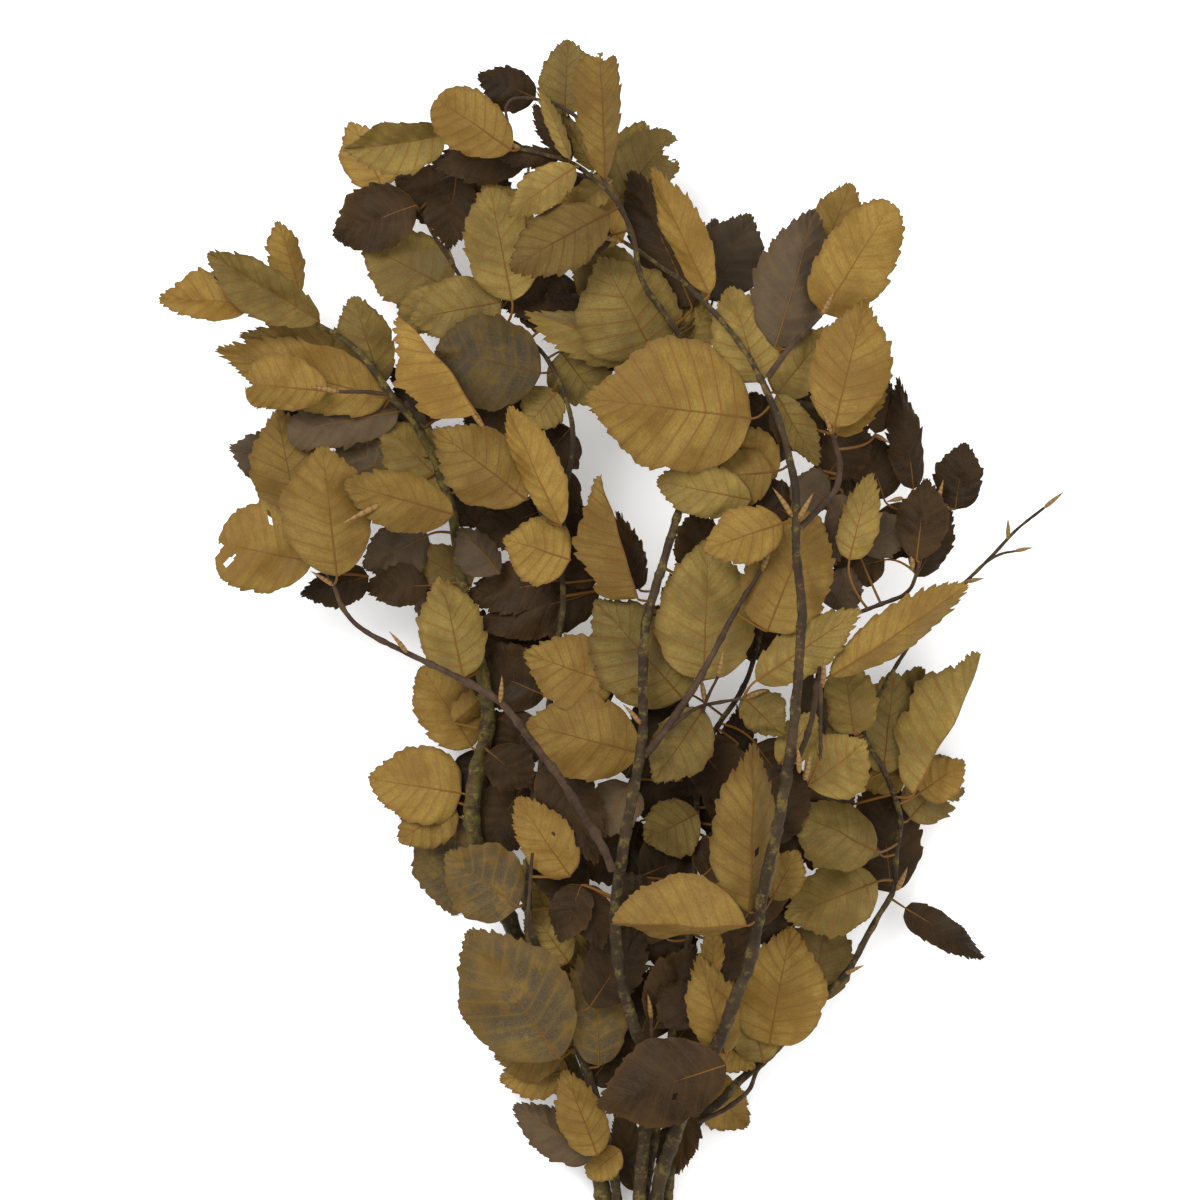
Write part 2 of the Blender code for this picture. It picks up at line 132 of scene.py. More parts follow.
# Each route runs from the cut end or the fork to the twig's end: x, y and height of the centre line.
# The radii are those of the first, the middle and the last point.
WOOD = (
    Wood("branch_centre", "bark", (3.9, 2.8, 1.1), (
        (2, -92, 12.8), (4, -45, 14.5), (6, 0, 21), (9, 40, 33), (9, 74, 45), (3, 92, 53),
        (-3, 112, 62), (-7, 135, 71), (-8, 160, 80), (-5, 185, 88), (-1, 210, 94), (4, 236, 99),
        (7, 258, 102), (7, 290, 106), (9, 318, 108), (18, 350, 106), (27, 380, 100), (34, 405, 94),
        (38, 435, 91), (35, 460, 93), (28, 474, 96), (18, 488, 101), (8, 502, 106), (4, 514, 109),
        (2, 527, 111), (-3, 540, 112), (-10, 551, 112), (-20, 560, 112), (-30, 568, 111),
        (-44, 573, 109), (-60, 577, 107))),
    Wood("branch_right", "bark", (4.3, 3.0, 1.0), (
        (10, -84, 4.4), (13, -40, 9), (16, 0, 22), (24, 28, 37), (36, 60, 54), (50, 88, 69),
        (58, 110, 81), (66, 132, 93), (70, 155, 105), (74, 178, 114), (80, 205, 121), (85, 233, 126),
        (89, 262, 130), (92, 302, 134), (93, 328, 137), (90, 355, 139), (90, 384, 140),
        (87, 404, 140), (80, 429, 138), (69, 454, 133), (60, 469, 129), (50, 482, 124),
        (40, 493, 117), (29, 504, 108), (18, 512, 100), (6, 521, 93), (-6, 529, 88), (-16, 540, 84))),
    Wood("branch_low_right", "bark", (3.4, 1.7, 0.8), (
        (19, -70, 3.6), (21, -35, 5), (22, 0, 9), (26, 20, 13), (38, 37, 17), (52, 50, 20),
        (63, 62, 22), (76, 73, 24), (92, 89, 26), (105, 104, 28), (120, 120, 30), (126, 129, 31),
        (132, 141, 32), (140, 155, 33), (147, 168, 34), (149, 190, 37), (151, 208, 40),
        (147, 222, 43), (140, 238, 47), (130, 257, 53), (139, 278, 56), (150, 297, 59),
        (163, 316, 62), (186, 340, 66), (200, 354, 68), (214, 369, 70), (229, 381, 72))),
    Wood("branch_left", "moss", (4.8, 4.3, 0.9), (
        (-10, -95, 4.9), (-12, -40, 6), (-17, 10, 9), (-27, 50, 13), (-42, 95, 19), (-58, 130, 25),
        (-72, 162, 32), (-84, 190, 38), (-88, 212, 42), (-85, 235, 46), (-80, 254, 50),
        (-79, 272, 53), (-84, 300, 57), (-92, 334, 62), (-96, 365, 67), (-101, 388, 72),
        (-110, 412, 76), (-121, 431, 79), (-131, 442, 81), (-140, 455, 83), (-152, 469, 84),
        (-165, 478, 85), (-180, 485, 86), (-201, 491, 87))),
    Wood("branch_inner_left", "bark", (3.2, 1.9, 0.9), (
        (-1, -78, 3.6), (-4, -30, 8), (-10, 15, 17), (-20, 55, 26), (-34, 95, 34), (-47, 125, 40),
        (-56, 152, 46), (-55, 190, 52), (-50, 230, 56), (-45, 268, 60), (-40, 305, 66),
        (-37, 330, 72), (-38, 352, 76), (-36, 388, 81), (-32, 410, 84), (-32, 428, 86),
        (-38, 448, 85), (-48, 466, 79), (-62, 478, 71), (-78, 490, 63), (-91, 505, 57),
        (-100, 519, 52), (-109, 533, 49), (-117, 547, 46), (-126, 555, 44))),
    Wood("branch_inner_right", "bark", (2.9, 1.9, 1.1), (
        (4, -50, 3.2), (6, -30, 4.5), (10, 5, 12), (17, 45, 29), (24, 90, 38), (31, 130, 42),
        (35, 160, 44), (37, 200, 48), (39, 242, 54), (50, 262, 60), (61, 278, 64), (68, 295, 68),
        (72, 314, 72), (70, 335, 77), (67, 353, 81), (61, 372, 86), (54, 392, 90))),
    Wood("twig_long_left", "young", (2.5, 1.8, 0.9), (
        (-9.4, 181.6, 92), (-14, 192, 96), (-22, 207, 101), (-38, 232, 108), (-51, 249, 112),
        (-71, 274, 115), (-95, 288, 114), (-122, 301, 108), (-147, 314, 100), (-158, 326, 94),
        (-163, 338, 88), (-170, 351, 79), (-177, 364, 70))),
    Wood("twig_centre_fork", "young", (2.2, 1.8, 1.1), (
        (9.8, 246.8, 105), (14, 252, 107), (20, 260, 109), (33, 279, 110), (45, 300, 112),
        (57, 323, 114), (67, 339, 115), (71, 346, 115))),
    Wood("twig_top_hook", "young", (1.4, 1.1, 0.7), (
        (-12.6, 555.8, 115.6), (-17, 566, 118), (-22, 580, 117), (-27, 592, 113), (-43, 602, 108),
        (-62, 605, 104), (-68, 600, 102), (-67, 592, 101))),
    Wood("twig_upper_right", "young", (1.8, 1.4, 1.0), (
        (74.8, 451, 133), (79, 457, 132), (88, 469, 129), (97, 478, 126), (104, 485, 124))),
    Wood("twig_right_fork", "young", (1.8, 1.8, 1.1), (
        (92.7, 369.6, 135.8), (97, 374, 133), (105, 382, 130), (112, 391, 128), (114, 404, 128),
        (110, 420, 129))),
    Wood("twig_far_right", "young", (1.6, 1.3, 0.8), (
        (89.4, 241.6, 122), (94, 249, 117), (100, 267, 108), (103, 288, 100), (107, 306, 95),
        (118, 319, 92), (136, 327, 92), (152, 334, 94), (158, 347, 96), (162, 365, 96),
        (168, 382, 95))),
    Wood("twig_left_upper", "young", (1.2, 1.1, 0.9), (
        (-134.8, 443.2, 85.6), (-144, 444.5, 88), (-153, 444.5, 90), (-160, 444.5, 91))),
    Wood("twig_left_lower", "young", (1.3, 1.2, 0.8), (
        (-103.2, 380.4, 75.4), (-108, 377, 80), (-116, 379, 90), (-126, 381, 98), (-136, 383, 103))),
    Wood("twig_left_inner", "young", (1.5, 1.3, 1.0), (
        (-41, 357.8, 79.6), (-44, 366, 84), (-50, 381, 90), (-58, 397, 94), (-68, 412, 95),
        (-80, 424, 94))),
)

# Thin shoots that are too slight for the frame.
SHOOTS = (
    Wood("side_shoot", "young", (1.3, 1.1, 0.8), (
        (8, 244, 101), (16, 254, 99), (26, 263, 98), (37, 271, 98), (50, 274, 99), (62, 276, 100))),
    Wood("low_shoot", "young", (1.5, 1.3, 1.0), (
        (38, 37, 19), (46, 41, 24), (55, 46, 27), (64, 53, 28), (68, 58, 28), (71, 66, 29),
        (77, 74, 31), (79, 82, 34))),
    Wood("hanging_stem", "young", (1.1, 1.0, 0.9), (
        (-57, 150, 47), (-56, 162, 58), (-55, 175, 64), (-54, 190, 66))),
    Wood("right_stem", "young", (1.2, 1.1, 0.9), (
        (103, 303, 96), (104, 285, 112), (104, 262, 114), (104, 243, 112))),
    Wood("tip_fork", "young", (0.9, 0.8, 0.6), (
        (197, 351, 67), (202, 354, 69), (207, 356, 70), (213, 357, 71))),
    Wood("rolled_leaf_twig", "young", (1.2, 1.1, 1.0), (
        (-20, 560, 111), (-32, 564, 107), (-44, 565, 105), (-58, 563, 104))),
    Wood("short_spur", "young", (1.4, 1.2, 0.9), (
        (7, 68, 44), (11, 76, 46), (12, 86, 48), (12, 97, 50))),
    Wood("bud_twig", "young", (1.1, 1.0, 0.8), (
        (40, 268, 99), (41, 273, 102), (44, 280, 106), (48, 288, 109))),
    Wood("top_left_thread", "young", (0.8, 0.7, 0.5), (
        (-201, 491, 87), (-212, 497, 88), (-222, 503, 88), (-229, 508, 88))),
)

# Blade base and tip (x, y), height of the base, rise from base to tip, width and tone; then, in
# degrees, the roll about the midrib (right side down), the fold of each half (up is positive) and the
# bend. A tear is the part of the blade that is gone: from and to by vein number, then from and to
# across (-1 to 1). Last come the power that rounds the tip, where it isn't the usual one, and the
# lightness from 0 (dark) to 1, where chance doesn't set it. A set lightness is partly the leaf's own
# tone and partly painted shading: leaves that lie in shade are set darker, leaves in full light lighter.
LEAVES = {
    "leaf_heart": Leaf((66, 429), (-25, 440), 123, 4, 75, "ochre", 0, -5, 16, shade=0.65),
    "leaf_top_right_1": Leaf((111, 424), (128, 494), 132, -2, 44, "ochre", -6, 5, 14, shade=0.7),
    "leaf_top_right_2": Leaf((105, 487), (143, 547), 118, 4, 41, "ochre", 8, 6, 12, (), 0.5, shade=0.85),
    "leaf_top_right_3": Leaf((70, 449), (54, 502), 119, -3, 38, "olive", 5, 6, 18, shade=0.85),
    "leaf_top_right_4": Leaf((79, 468), (101, 544), 110, -12, 44, "grey", 8, -8, 20),
    "leaf_top_1": Leaf((43, 497), (12, 566), 121, 8, 27, "ochre", -25, -18, 12),
    "leaf_top_2": Leaf((-9, 548), (24, 589), 76, -24, 34, "olive", 4, 6, 10,
                       ((5.6, 8, 0.2, 1.0),), 0.5, shade=0.3),
    "leaf_top_3": Leaf((-14, 560), (-17, 628), 123, 14, 29, "ochre", 22, -14, 10,
                       ((9.2, 10, -1, -0.2), (8.6, 10, 0.25, 1)), 0.3),
    "leaf_top_4": Leaf((-36, 596), (-34, 638), 98, -8, 31, "olive", -4, 5, 20, shade=0.45),
    "leaf_top_5": Leaf((-12, 541), (-66, 510), 120, 4, 38, "ochre", 8, -8, 26, shade=0.05),
    "leaf_top_6": Leaf((-65, 576), (-106, 604), 112, 2, 36, "ochre", 4, -8, 16, (), 0.4),
    "leaf_top_7": Leaf((-138, 560), (-156, 599), 36, -36, 34, "ochre", 6, 4, 12),
    "leaf_top_8": Leaf((-119, 549), (-165, 532), 56, -8, 38, "umber", 6, 8, 24),
    "leaf_top_9": Leaf((12, 466), (-17, 520), 97, 0, 60, "olive", 8, -6, 18),
    "leaf_left_2": Leaf((-84, 432), (-126, 487), 96, 4, 56, "ochre", 60, -58, 12),
    "leaf_left_1": Leaf((-49, 455), (-108, 468), 88, -4, 54, "mottled", 4, -6, 20, (), 0.6, shade=0.2),
    "leaf_left_3": Leaf((-57, 385), (-108, 424), 100, 0, 44, "ochre", 8, -8, 16, shade=0.35),
    "leaf_left_4": Leaf((-134, 441), (-229, 469), 76, -6, 38, "ochre", -8, 8, 14),
    "leaf_left_5": Leaf((-166, 445), (-211, 449), 93, 4, 34, "ochre", -14, -14, 8,
                        ((7.0, 9, -1, 1),), 0.3),
    "leaf_left_6": Leaf((-171, 484), (-232, 521), 88, 4, 34, "olive", -14, 36, 12),
    "leaf_left_7": Leaf((-209, 492), (-260, 496), 88, -6, 32, "ochre", 20, 30, 18),
    "leaf_left_8": Leaf((-161, 343), (-169, 415), 97, 2, 52, "ochre", 4, -6, 18, shade=0.5),
    "leaf_left_9": Leaf((-175, 351), (-228, 362), 84, -8, 50, "ochre", -4, 4, 30,
                        ((6.4, 6.8, -0.75, -0.3), (3.2, 3.6, 0.6, 0.85), (8, 9, -1, -0.1)), 0.45),
    "leaf_left_10": Leaf((-183, 372), (-196, 436), 62, -6, 46, "ochre", -4, 4, 16, shade=0.5),
    "leaf_left_11": Leaf((-97, 377), (-157, 394), 98, 6, 36, "ochre", 4, -16, 10),
    "leaf_middle_1": Leaf((83, 372), (40, 357), 126, 2, 32, "ochre", 4, -5, 18),
    "leaf_middle_2": Leaf((4, 331), (-18, 398), 98, 4, 46, "ochre", 48, -46, 10, shade=0.4),
    "leaf_middle_3": Leaf((29, 276), (-20, 331), 92, -4, 54, "olive", 0, -6, 16, shade=0.25),
    "leaf_middle_4": Leaf((40, 286), (43, 364), 99, -2, 54, "olive", 4, 6, 12, shade=0.7),
    "leaf_middle_5": Leaf((5, 246), (-57, 262), 88, 0, 50, "ochre", -4, -6, 18, shade=0.5),
    "leaf_right_1": Leaf((110, 288), (185, 339), 104, -4, 31, "ochre", 22, -22, 14),
    "leaf_right_2": Leaf((158, 222), (197, 300), 47, 4, 54, "olive", 48, -46, 12, shade=0.95),
    "leaf_right_3": Leaf((157, 208), (184, 237), 28, -28, 34, "olive", 4, 4, 10,
                         ((5.4, 7, -0.2, 1), (3.2, 3.6, 0.5, 1)), 0.4),
    "leaf_right_4": Leaf((140, 188), (111, 228), 44, 6, 64, "olive", 48, -46, 12, shade=0.7),
    "leaf_right_5": Leaf((138, 173), (86, 153), 42, 6, 40, "olive", 4, -6, 20, shade=0.7),
    "leaf_right_6": Leaf((154, 158), (199, 129), 34, -14, 22, "umber", -12, -22, 16),
    "leaf_right_7": Leaf((157, 352), (163, 397), 100, -2, 30, "umber", -8, -8, 14),
    "leaf_low_1": Leaf((65, 159), (66, 252), 118, 12, 44, "ochre", 20, -18, 14,
                       ((3.3, 3.8, 0.06, 0.24),), shade=0.3),
    "leaf_low_2": Leaf((64, 152), (-10, 154), 112, -4, 58, "ochre", -34, -36, 12, shade=0.6),
    "leaf_low_3": Leaf((53, 73), (-18, 50), 72, -6, 50, "umber", 2, -6, 18, ((3.4, 3.8, -0.4, -0.25),)),
    "leaf_low_4": Leaf((-39, 75), (-90, 147), 48, 8, 62, "mottled", -4, 6, 14),
    "leaf_low_5": Leaf((-96, 208), (-101, 152), 26, -24, 46, "mottled", 4, 5, 10),
    "leaf_low_6": Leaf((-62, 160), (-102, 190), 62, 4, 46, "mottled", 4, -8, 24),
    "leaf_low_7": Leaf((-94, 222), (-146, 230), 32, -4, 44, "ochre", 4, 6, 16, shade=0.85),
}

# The smaller, hidden and half-hidden leaves, by the part of the bunch they fill. Most of those inside the
# bunch are dark umber: partly their own dark upper sides, partly painted shade that darkens the bunch's
# shaded inside.
# A shade set on one of these leaves is partly painted shading, as for the frame's leaves.
SPRAYS = {
    "left": (
        Leaf((-183, 500), (-195, 540), 68, 2, 26, "ochre", 38, -14, 14),
        Leaf((-138, 448), (-153, 498), 74, 2, 34, "olive", 10, -10, 12),
        Leaf((-128, 434), (-190, 422), 70, 0, 30, "grey", 16, -8, 14, (), 0.4),
        Leaf((-38, 371), (-67, 436), 104, 6, 28, "ochre", -20, -20, 12),
        Leaf((-33, 352), (-70, 364), 96, 0, 40, "ochre", 6, -8, 16),
        Leaf((-71, 495), (-122, 485), 70, 0, 38, "olive", 4, 6, 14),
        Leaf((-65, 495), (-78, 563), 78, 4, 42, "olive", -6, 6, 14),
        Leaf((-188, 406), (-223, 415), 48, -4, 28, "grey", 8, 8, 18),
        Leaf((-145, 343), (-183, 333), 62, -4, 24, "umber", 8, -10, 14),
        Leaf((-112, 366), (-148, 348), 58, -2, 32, "grey", -8, 8, 18),
        Leaf((-100, 352), (-116, 318), 52, -6, 30, "grey", 6, 8, 16),
        Leaf((-72, 345), (-95, 370), 74, 0, 28, "grey", 20, -20, 14),
        Leaf((-88, 338), (-120, 358), 60, 0, 28, "olive", -6, 8, 14),
        Leaf((-100, 392), (-138, 428), 76, -2, 36, "olive", 6, -8, 18),
        Leaf((-128, 394), (-163, 424), 70, -4, 34, "mottled", -8, 8, 20),
        Leaf((-110, 410), (-155, 440), 66, -4, 36, "grey", 8, 6, 12),
        Leaf((-40, 445), (-57, 426), 76, 0, 26, "olive"),
        Leaf((-33, 425), (-53, 402), 62, -6, 34, "umber", 8, 8, 14),
        Leaf((-34, 402), (-46, 372), 66, -4, 26, "umber", -8, 8, 16),
        Leaf((-52, 440), (-92, 428), 68, -4, 34, "umber", 8, 6, 16),
        Leaf((-70, 400), (-100, 372), 58, -6, 36, "umber", -6, 6, 16),
        Leaf((-140, 400), (-178, 380), 54, -6, 36, "grey", 6, 6, 16),
        Leaf((-48, 380), (-86, 364), 58, 0, 28, "umber"),
        Leaf((-30, 358), (-37, 396), 56, 0, 18, "umber"),
        Leaf((-140, 462), (-216, 477), 70, 0, 30, "ochre", 6, -8, 14),
        Leaf((-98, 500), (-129, 482), 56, 0, 26, "olive"),
        Leaf((-112, 338), (-148, 337), 58, 0, 24, "umber"),
        Leaf((-150, 430), (-196, 440), 56, -4, 36, "umber"),
        Leaf((-96, 440), (-134, 458), 54, -4, 38, "umber"),
    ),
    "top": (
        Leaf((-102, 586), (-158, 578), 92, -6, 36, "olive", -30, 34, 16),
        Leaf((-100, 503), (-150, 529), 52, -6, 44, "olive", 6, 6, 16),
        Leaf((-94, 545), (-130, 566), 50, -4, 34, "umber", 8, 8, 18),
        Leaf((-96, 566), (-101, 524), 60, -6, 30, "umber", 8, 10, 16),
        Leaf((-38, 573), (-76, 574), 112, -2, 15, "umber", 10, -24, 18),
        Leaf((-30, 566), (-66, 540), 122, -8, 24, "olive", 8, -8, 44),
        Leaf((-10, 530), (-50, 522), 104, -4, 20, "umber", 12, -18, 16),
        Leaf((-10, 560), (-30, 546), 100, -4, 18, "olive", 6, 10, 14),
        Leaf((-52, 606), (-84, 619), 92, 0, 26, "umber", 6, -8, 16),
        Leaf((-33, 571), (-50, 610), 118, 2, 11, "olive", 18, -24, 14),
        Leaf((-32, 572), (-53, 602), 104, 0, 15, "umber", -14, 18, 14),
        Leaf((34, 492), (0, 567), 84, -6, 36, "umber", 6, -10, 16),
        Leaf((43, 496), (67, 544), 78, -8, 38, "grey", 4, 8, 14, shade=0.12),
        Leaf((103, 512), (122, 560), 84, 0, 30, "ochre", -6, 6, 14),
        Leaf((-38, 467), (-16, 438), 80, -4, 38, "olive", 6, 8, 16),
        Leaf((5, 465), (-58, 489), 88, 0, 34, "olive", 24, -26, 14),
        Leaf((2, 462), (-46, 500), 74, -4, 34, "umber", 6, 6, 14),
        Leaf((30, 464), (42, 492), 84, -2, 22, "olive"),
        Leaf((-58, 532), (-80, 560), 82, -2, 28, "olive", 8, -8, 16),
        Leaf((-52, 534), (-78, 530), 68, -4, 20, "umber", -6, 8, 14),
        Leaf((-4, 528), (-40, 556), 92, -4, 30, "ochre", 8, 8, 16),
        Leaf((6, 500), (-34, 520), 84, -4, 36, "olive", -6, 6, 14),
        Leaf((-56, 574), (-110, 571), 88, 0, 28, "umber", 8, -10, 14),
        Leaf((-20, 566), (-40, 601), 108, 0, 13, "olive", 10, -12, 14),
        Leaf((-28, 500), (-72, 494), 62, 0, 28, "umber"),
        Leaf((-6, 552), (9, 596), 66, -10, 34, "olive"),
        Leaf((46, 498), (47, 542), 68, -4, 28, "grey", shade=0.05),
        Leaf((-92, 540), (-70, 572), 60, -4, 32, "umber"),
        Leaf((-34, 536), (-8, 566), 72, -4, 32, "umber"),
        Leaf((22, 508), (42, 480), 76, 0, 26, "olive"),
        Leaf((-62, 500), (-36, 478), 60, 0, 22, "umber"),
    ),
    "upper_right": (
        Leaf((113, 420), (141, 457), 120, -4, 20, "ochre", -10, 10, 14),
        Leaf((80, 443), (110, 480), 112, -2, 28, "olive", 6, 8, 16),
        Leaf((80, 442), (103, 403), 122, -10, 20, "olive", 12, -16, 30),
        Leaf((78, 437), (105, 413), 108, -4, 28, "umber"),
        Leaf((135, 422), (141, 453), 90, -2, 16, "umber", 8, 8, 12),
        Leaf((78, 400), (40, 396), 112, -2, 34, "ochre", 6, -8, 18),
        Leaf((66, 385), (14, 395), 106, 0, 30, "olive", -6, 8, 16),
        Leaf((156, 391), (147, 452), 90, 2, 22, "umber", 14, -18, 14),
        Leaf((179, 380), (184, 417), 90, 0, 27, "umber", -10, 10, 18),
        Leaf((158, 343), (177, 380), 86, 0, 23, "umber", 10, -12, 16),
        Leaf((140, 386), (129, 422), 80, 0, 28, "umber", 6, 8, 16),
        Leaf((120, 352), (132, 400), 110, 0, 22, "olive", -8, 10, 16),
        Leaf((126, 358), (152, 373), 94, -2, 26, "grey", 8, 6, 14),
        Leaf((140, 352), (112, 346), 88, -4, 26, "umber", 6, 6, 14),
        Leaf((112, 325), (121, 348), 96, 0, 26, "grey"),
        Leaf((108, 385), (88, 395), 108, -2, 28, "grey", 6, 8, 16),
        Leaf((75, 313), (101, 378), 112, 0, 48, "ochre", -4, 6, 14),
        Leaf((116, 388), (111, 348), 116, -8, 18, "grey", 8, -10, 16),
        Leaf((136, 378), (160, 356), 74, -6, 34, "umber", 6, 6, 14),
        Leaf((100, 402), (130, 384), 84, -4, 32, "umber", -6, 8, 16),
        Leaf((80, 404), (66, 444), 98, 2, 30, "umber"),
        Leaf((80, 398), (50, 420), 106, 0, 32, "ochre"),
        Leaf((108, 398), (130, 430), 94, 0, 28, "umber"),
        Leaf((94, 372), (62, 394), 100, 0, 28, "umber"),
        Leaf((88, 430), (114, 446), 88, -4, 34, "umber"),
        Leaf((66, 470), (96, 490), 84, -4, 34, "umber"),
    ),
    "middle": (
        Leaf((-92, 287), (-105, 344), 78, 0, 40, "olive", 10, -14, 16),
        Leaf((-38, 341), (-92, 331), 66, -4, 30, "umber", 6, 8, 18),
        Leaf((-17, 335), (-84, 315), 72, -6, 36, "umber", 10, -12, 16),
        Leaf((-16, 342), (-42, 360), 70, -4, 26, "umber", 8, 8, 16),
        Leaf((-47, 277), (-93, 297), 56, -4, 38, "umber", -6, 6, 16),
        Leaf((-8, 283), (-59, 301), 82, 0, 42, "ochre", 6, 6, 16),
        Leaf((40, 270), (13, 230), 92, -4, 34, "olive", -10, 12, 20),
        Leaf((0, 228), (-16, 198), 60, -6, 30, "grey", 8, 8, 14),
        Leaf((5, 336), (-7, 379), 84, 0, 17, "umber", -10, 10, 14),
        Leaf((-50, 262), (-75, 244), 52, -6, 32, "umber"),
        Leaf((36, 330), (66, 300), 80, -4, 38, "umber", 6, 6, 14),
        Leaf((-2, 300), (34, 318), 66, -6, 38, "umber", 6, 6, 14),
        Leaf((60, 250), (30, 222), 62, -6, 36, "umber", 6, 6, 14),
        Leaf((38, 212), (8, 196), 56, -6, 34, "olive", -6, 8, 14),
        Leaf((40, 246), (66, 216), 70, -6, 34, "umber", 6, 6, 14),
        Leaf((36, 340), (38, 382), 82, 0, 28, "umber"),
        Leaf((-40, 300), (-86, 312), 48, 0, 30, "umber"),
        Leaf((30, 278), (0, 250), 68, 0, 30, "umber"),
        Leaf((-10, 288), (-36, 272), 56, 0, 28, "umber"),
        Leaf((6, 238), (36, 206), 46, 0, 42, "umber"),
        Leaf((-44, 242), (-18, 184), 58, 0, 34, "umber"),
        Leaf((-28, 238), (-54, 212), 44, 0, 28, "grey"),
        Leaf((58, 326), (86, 300), 74, 0, 34, "umber"),
        Leaf((-80, 300), (-112, 326), 44, 0, 34, "umber"),
        Leaf((22, 320), (52, 352), 70, 0, 34, "umber"),
        Leaf((-2, 232), (16, 268), 50, 0, 34, "umber"),
    ),
    "right": (
        Leaf((69, 286), (126, 325), 112, -2, 30, "olive", 6, -10, 16),
        Leaf((124, 256), (118, 299), 76, -2, 30, "olive", -8, 8, 16),
        Leaf((141, 233), (147, 290), 46, -2, 34, "olive", 8, 6, 14),
        Leaf((147, 166), (139, 234), 26, -4, 40, "umber", 6, 6, 14),
        Leaf((98, 228), (130, 253), 104, -4, 38, "olive", 6, 8, 18),
        Leaf((62, 277), (85, 255), 100, -4, 28, "olive", 14, -16, 14),
        Leaf((52, 205), (63, 274), 60, -2, 30, "umber", 8, 8, 16),
        Leaf((78, 165), (93, 192), 80, -2, 24, "ochre"),
        Leaf((100, 240), (124, 212), 50, -6, 34, "umber", -6, 8, 14),
        Leaf((136, 191), (88, 214), 66, -4, 46, "olive", 22, -20, 14, shade=0.4),
        Leaf((128, 262), (160, 244), 40, -6, 34, "umber", 6, 6, 14),
        Leaf((40, 176), (66, 200), 50, -4, 34, "umber", 6, 6, 14),
        Leaf((46, 234), (54, 194), 46, 0, 32, "umber"),
        Leaf((150, 246), (162, 293), 36, 0, 38, "olive", 6, 6, 14),
        Leaf((162, 222), (188, 240), 30, -2, 24, "ochre", 6, 6, 14),
        Leaf((100, 248), (97, 294), 80, 0, 20, "umber"),
        Leaf((114, 250), (106, 284), 66, 0, 24, "olive"),
        Leaf((70, 250), (90, 222), 60, 0, 34, "umber"),
        Leaf((130, 230), (112, 258), 44, 0, 34, "umber"),
        Leaf((70, 140), (90, 164), 42, 0, 28, "umber"),
        Leaf((86, 212), (70, 180), 60, 0, 30, "umber"),
        Leaf((96, 206), (122, 184), 34, 0, 34, "umber"),
        Leaf((136, 246), (150, 222), 30, 0, 30, "ochre"),
        Leaf((82, 240), (102, 268), 88, 0, 22, "olive"),
    ),
    "lower": (
        Leaf((-88, 248), (-116, 293), 38, -2, 38, "ochre", 6, 6, 14),
        Leaf((-78, 246), (-54, 227), 60, -4, 28, "umber", 8, 8, 16),
        Leaf((-33, 177), (-63, 221), 60, -2, 30, "ochre", -8, 8, 16),
        Leaf((-27, 172), (-39, 140), 66, -4, 24, "umber", 8, 8, 12),
        Leaf((-25, 172), (-16, 136), 66, -4, 24, "umber", -8, 8, 12),
        Leaf((-17, 70), (-21, 146), 36, 0, 34, "mottled"),
        Leaf((-18, 76), (-40, 130), 28, -2, 36, "olive", -6, 8, 14),
        Leaf((-36, 78), (-76, 74), 28, -10, 30, "ochre", 8, 8, 20),
        Leaf((-18, 20), (-37, 68), 36, 0, 28, "ochre", 8, -8, 14),
        Leaf((-20, 19), (-65, 47), 30, -4, 30, "grey", 14, -16, 14),
        Leaf((39, 60), (66, 34), 22, -8, 30, "ochre", -6, 10, 16),
        Leaf((-5, 22), (-24, 6), 18, -4, 20, "ochre", 6, 10, 14),
        Leaf((33, 43), (18, 2), 14, -4, 22, "umber", 8, 8, 12),
        Leaf((53, 78), (38, 134), 76, 4, 30, "ochre", 8, -10, 16),
        Leaf((78, 82), (90, 149), 40, 4, 50, "ochre", -4, 6, 14),
        Leaf((75, 72), (60, 127), 34, 0, 36, "olive", 6, 6, 14),
        Leaf((101, 106), (112, 157), 30, -2, 42, "olive", 6, 6, 16),
        Leaf((46, 120), (46, 150), 60, 0, 15, "ochre", 14, -16, 14),
        Leaf((14, 92), (36, 138), 44, -4, 34, "umber"),
        Leaf((6, 84), (18, 126), 30, -6, 32, "umber", -6, 8, 14),
        Leaf((40, 96), (16, 116), 52, -6, 28, "umber"),
        Leaf((-34, 128), (-58, 160), 40, -4, 26, "olive"),
        Leaf((-28, 160), (-50, 200), 44, -4, 30, "umber"),
        Leaf((-60, 236), (-78, 268), 44, -4, 30, "umber"),
        Leaf((-98, 262), (-74, 284), 46, -2, 18, "ochre", 18, -24, 26),
        Leaf((-22, 104), (8, 150), 50, -4, 34, "umber"),
        Leaf((20, 142), (-6, 178), 44, -4, 34, "umber"),
        Leaf((-58, 228), (-84, 188), 44, -4, 38, "umber"),
        Leaf((6, 176), (40, 190), 40, 0, 38, "umber"),
        Leaf((-44, 148), (-58, 186), 34, 0, 26, "olive"),
        Leaf((16, 124), (34, 152), 38, 0, 28, "umber"),
        Leaf((50, 116), (64, 158), 46, 0, 24, "umber"),
        Leaf((-22, 60), (4, 94), 28, 0, 30, "umber"),
        Leaf((52, 84), (70, 68), 34, 0, 24, "ochre"),
        Leaf((-34, 66), (-73, 61), 22, -6, 30, "ochre"),
        Leaf((-98, 216), (-129, 195), 30, -4, 30, "ochre"),
        Leaf((-84, 246), (-98, 208), 30, -2, 26, "umber"),
        Leaf((3, -2), (-6, 50), 10, 2, 20, "umber"),
        Leaf((35, 46), (27, 8), 16, 0, 18, "umber"),
        Leaf((-40, 200), (-8, 214), 40, -4, 32, "umber"),
        Leaf((30, 44), (4, 60), 40, 0, 28, "umber"),
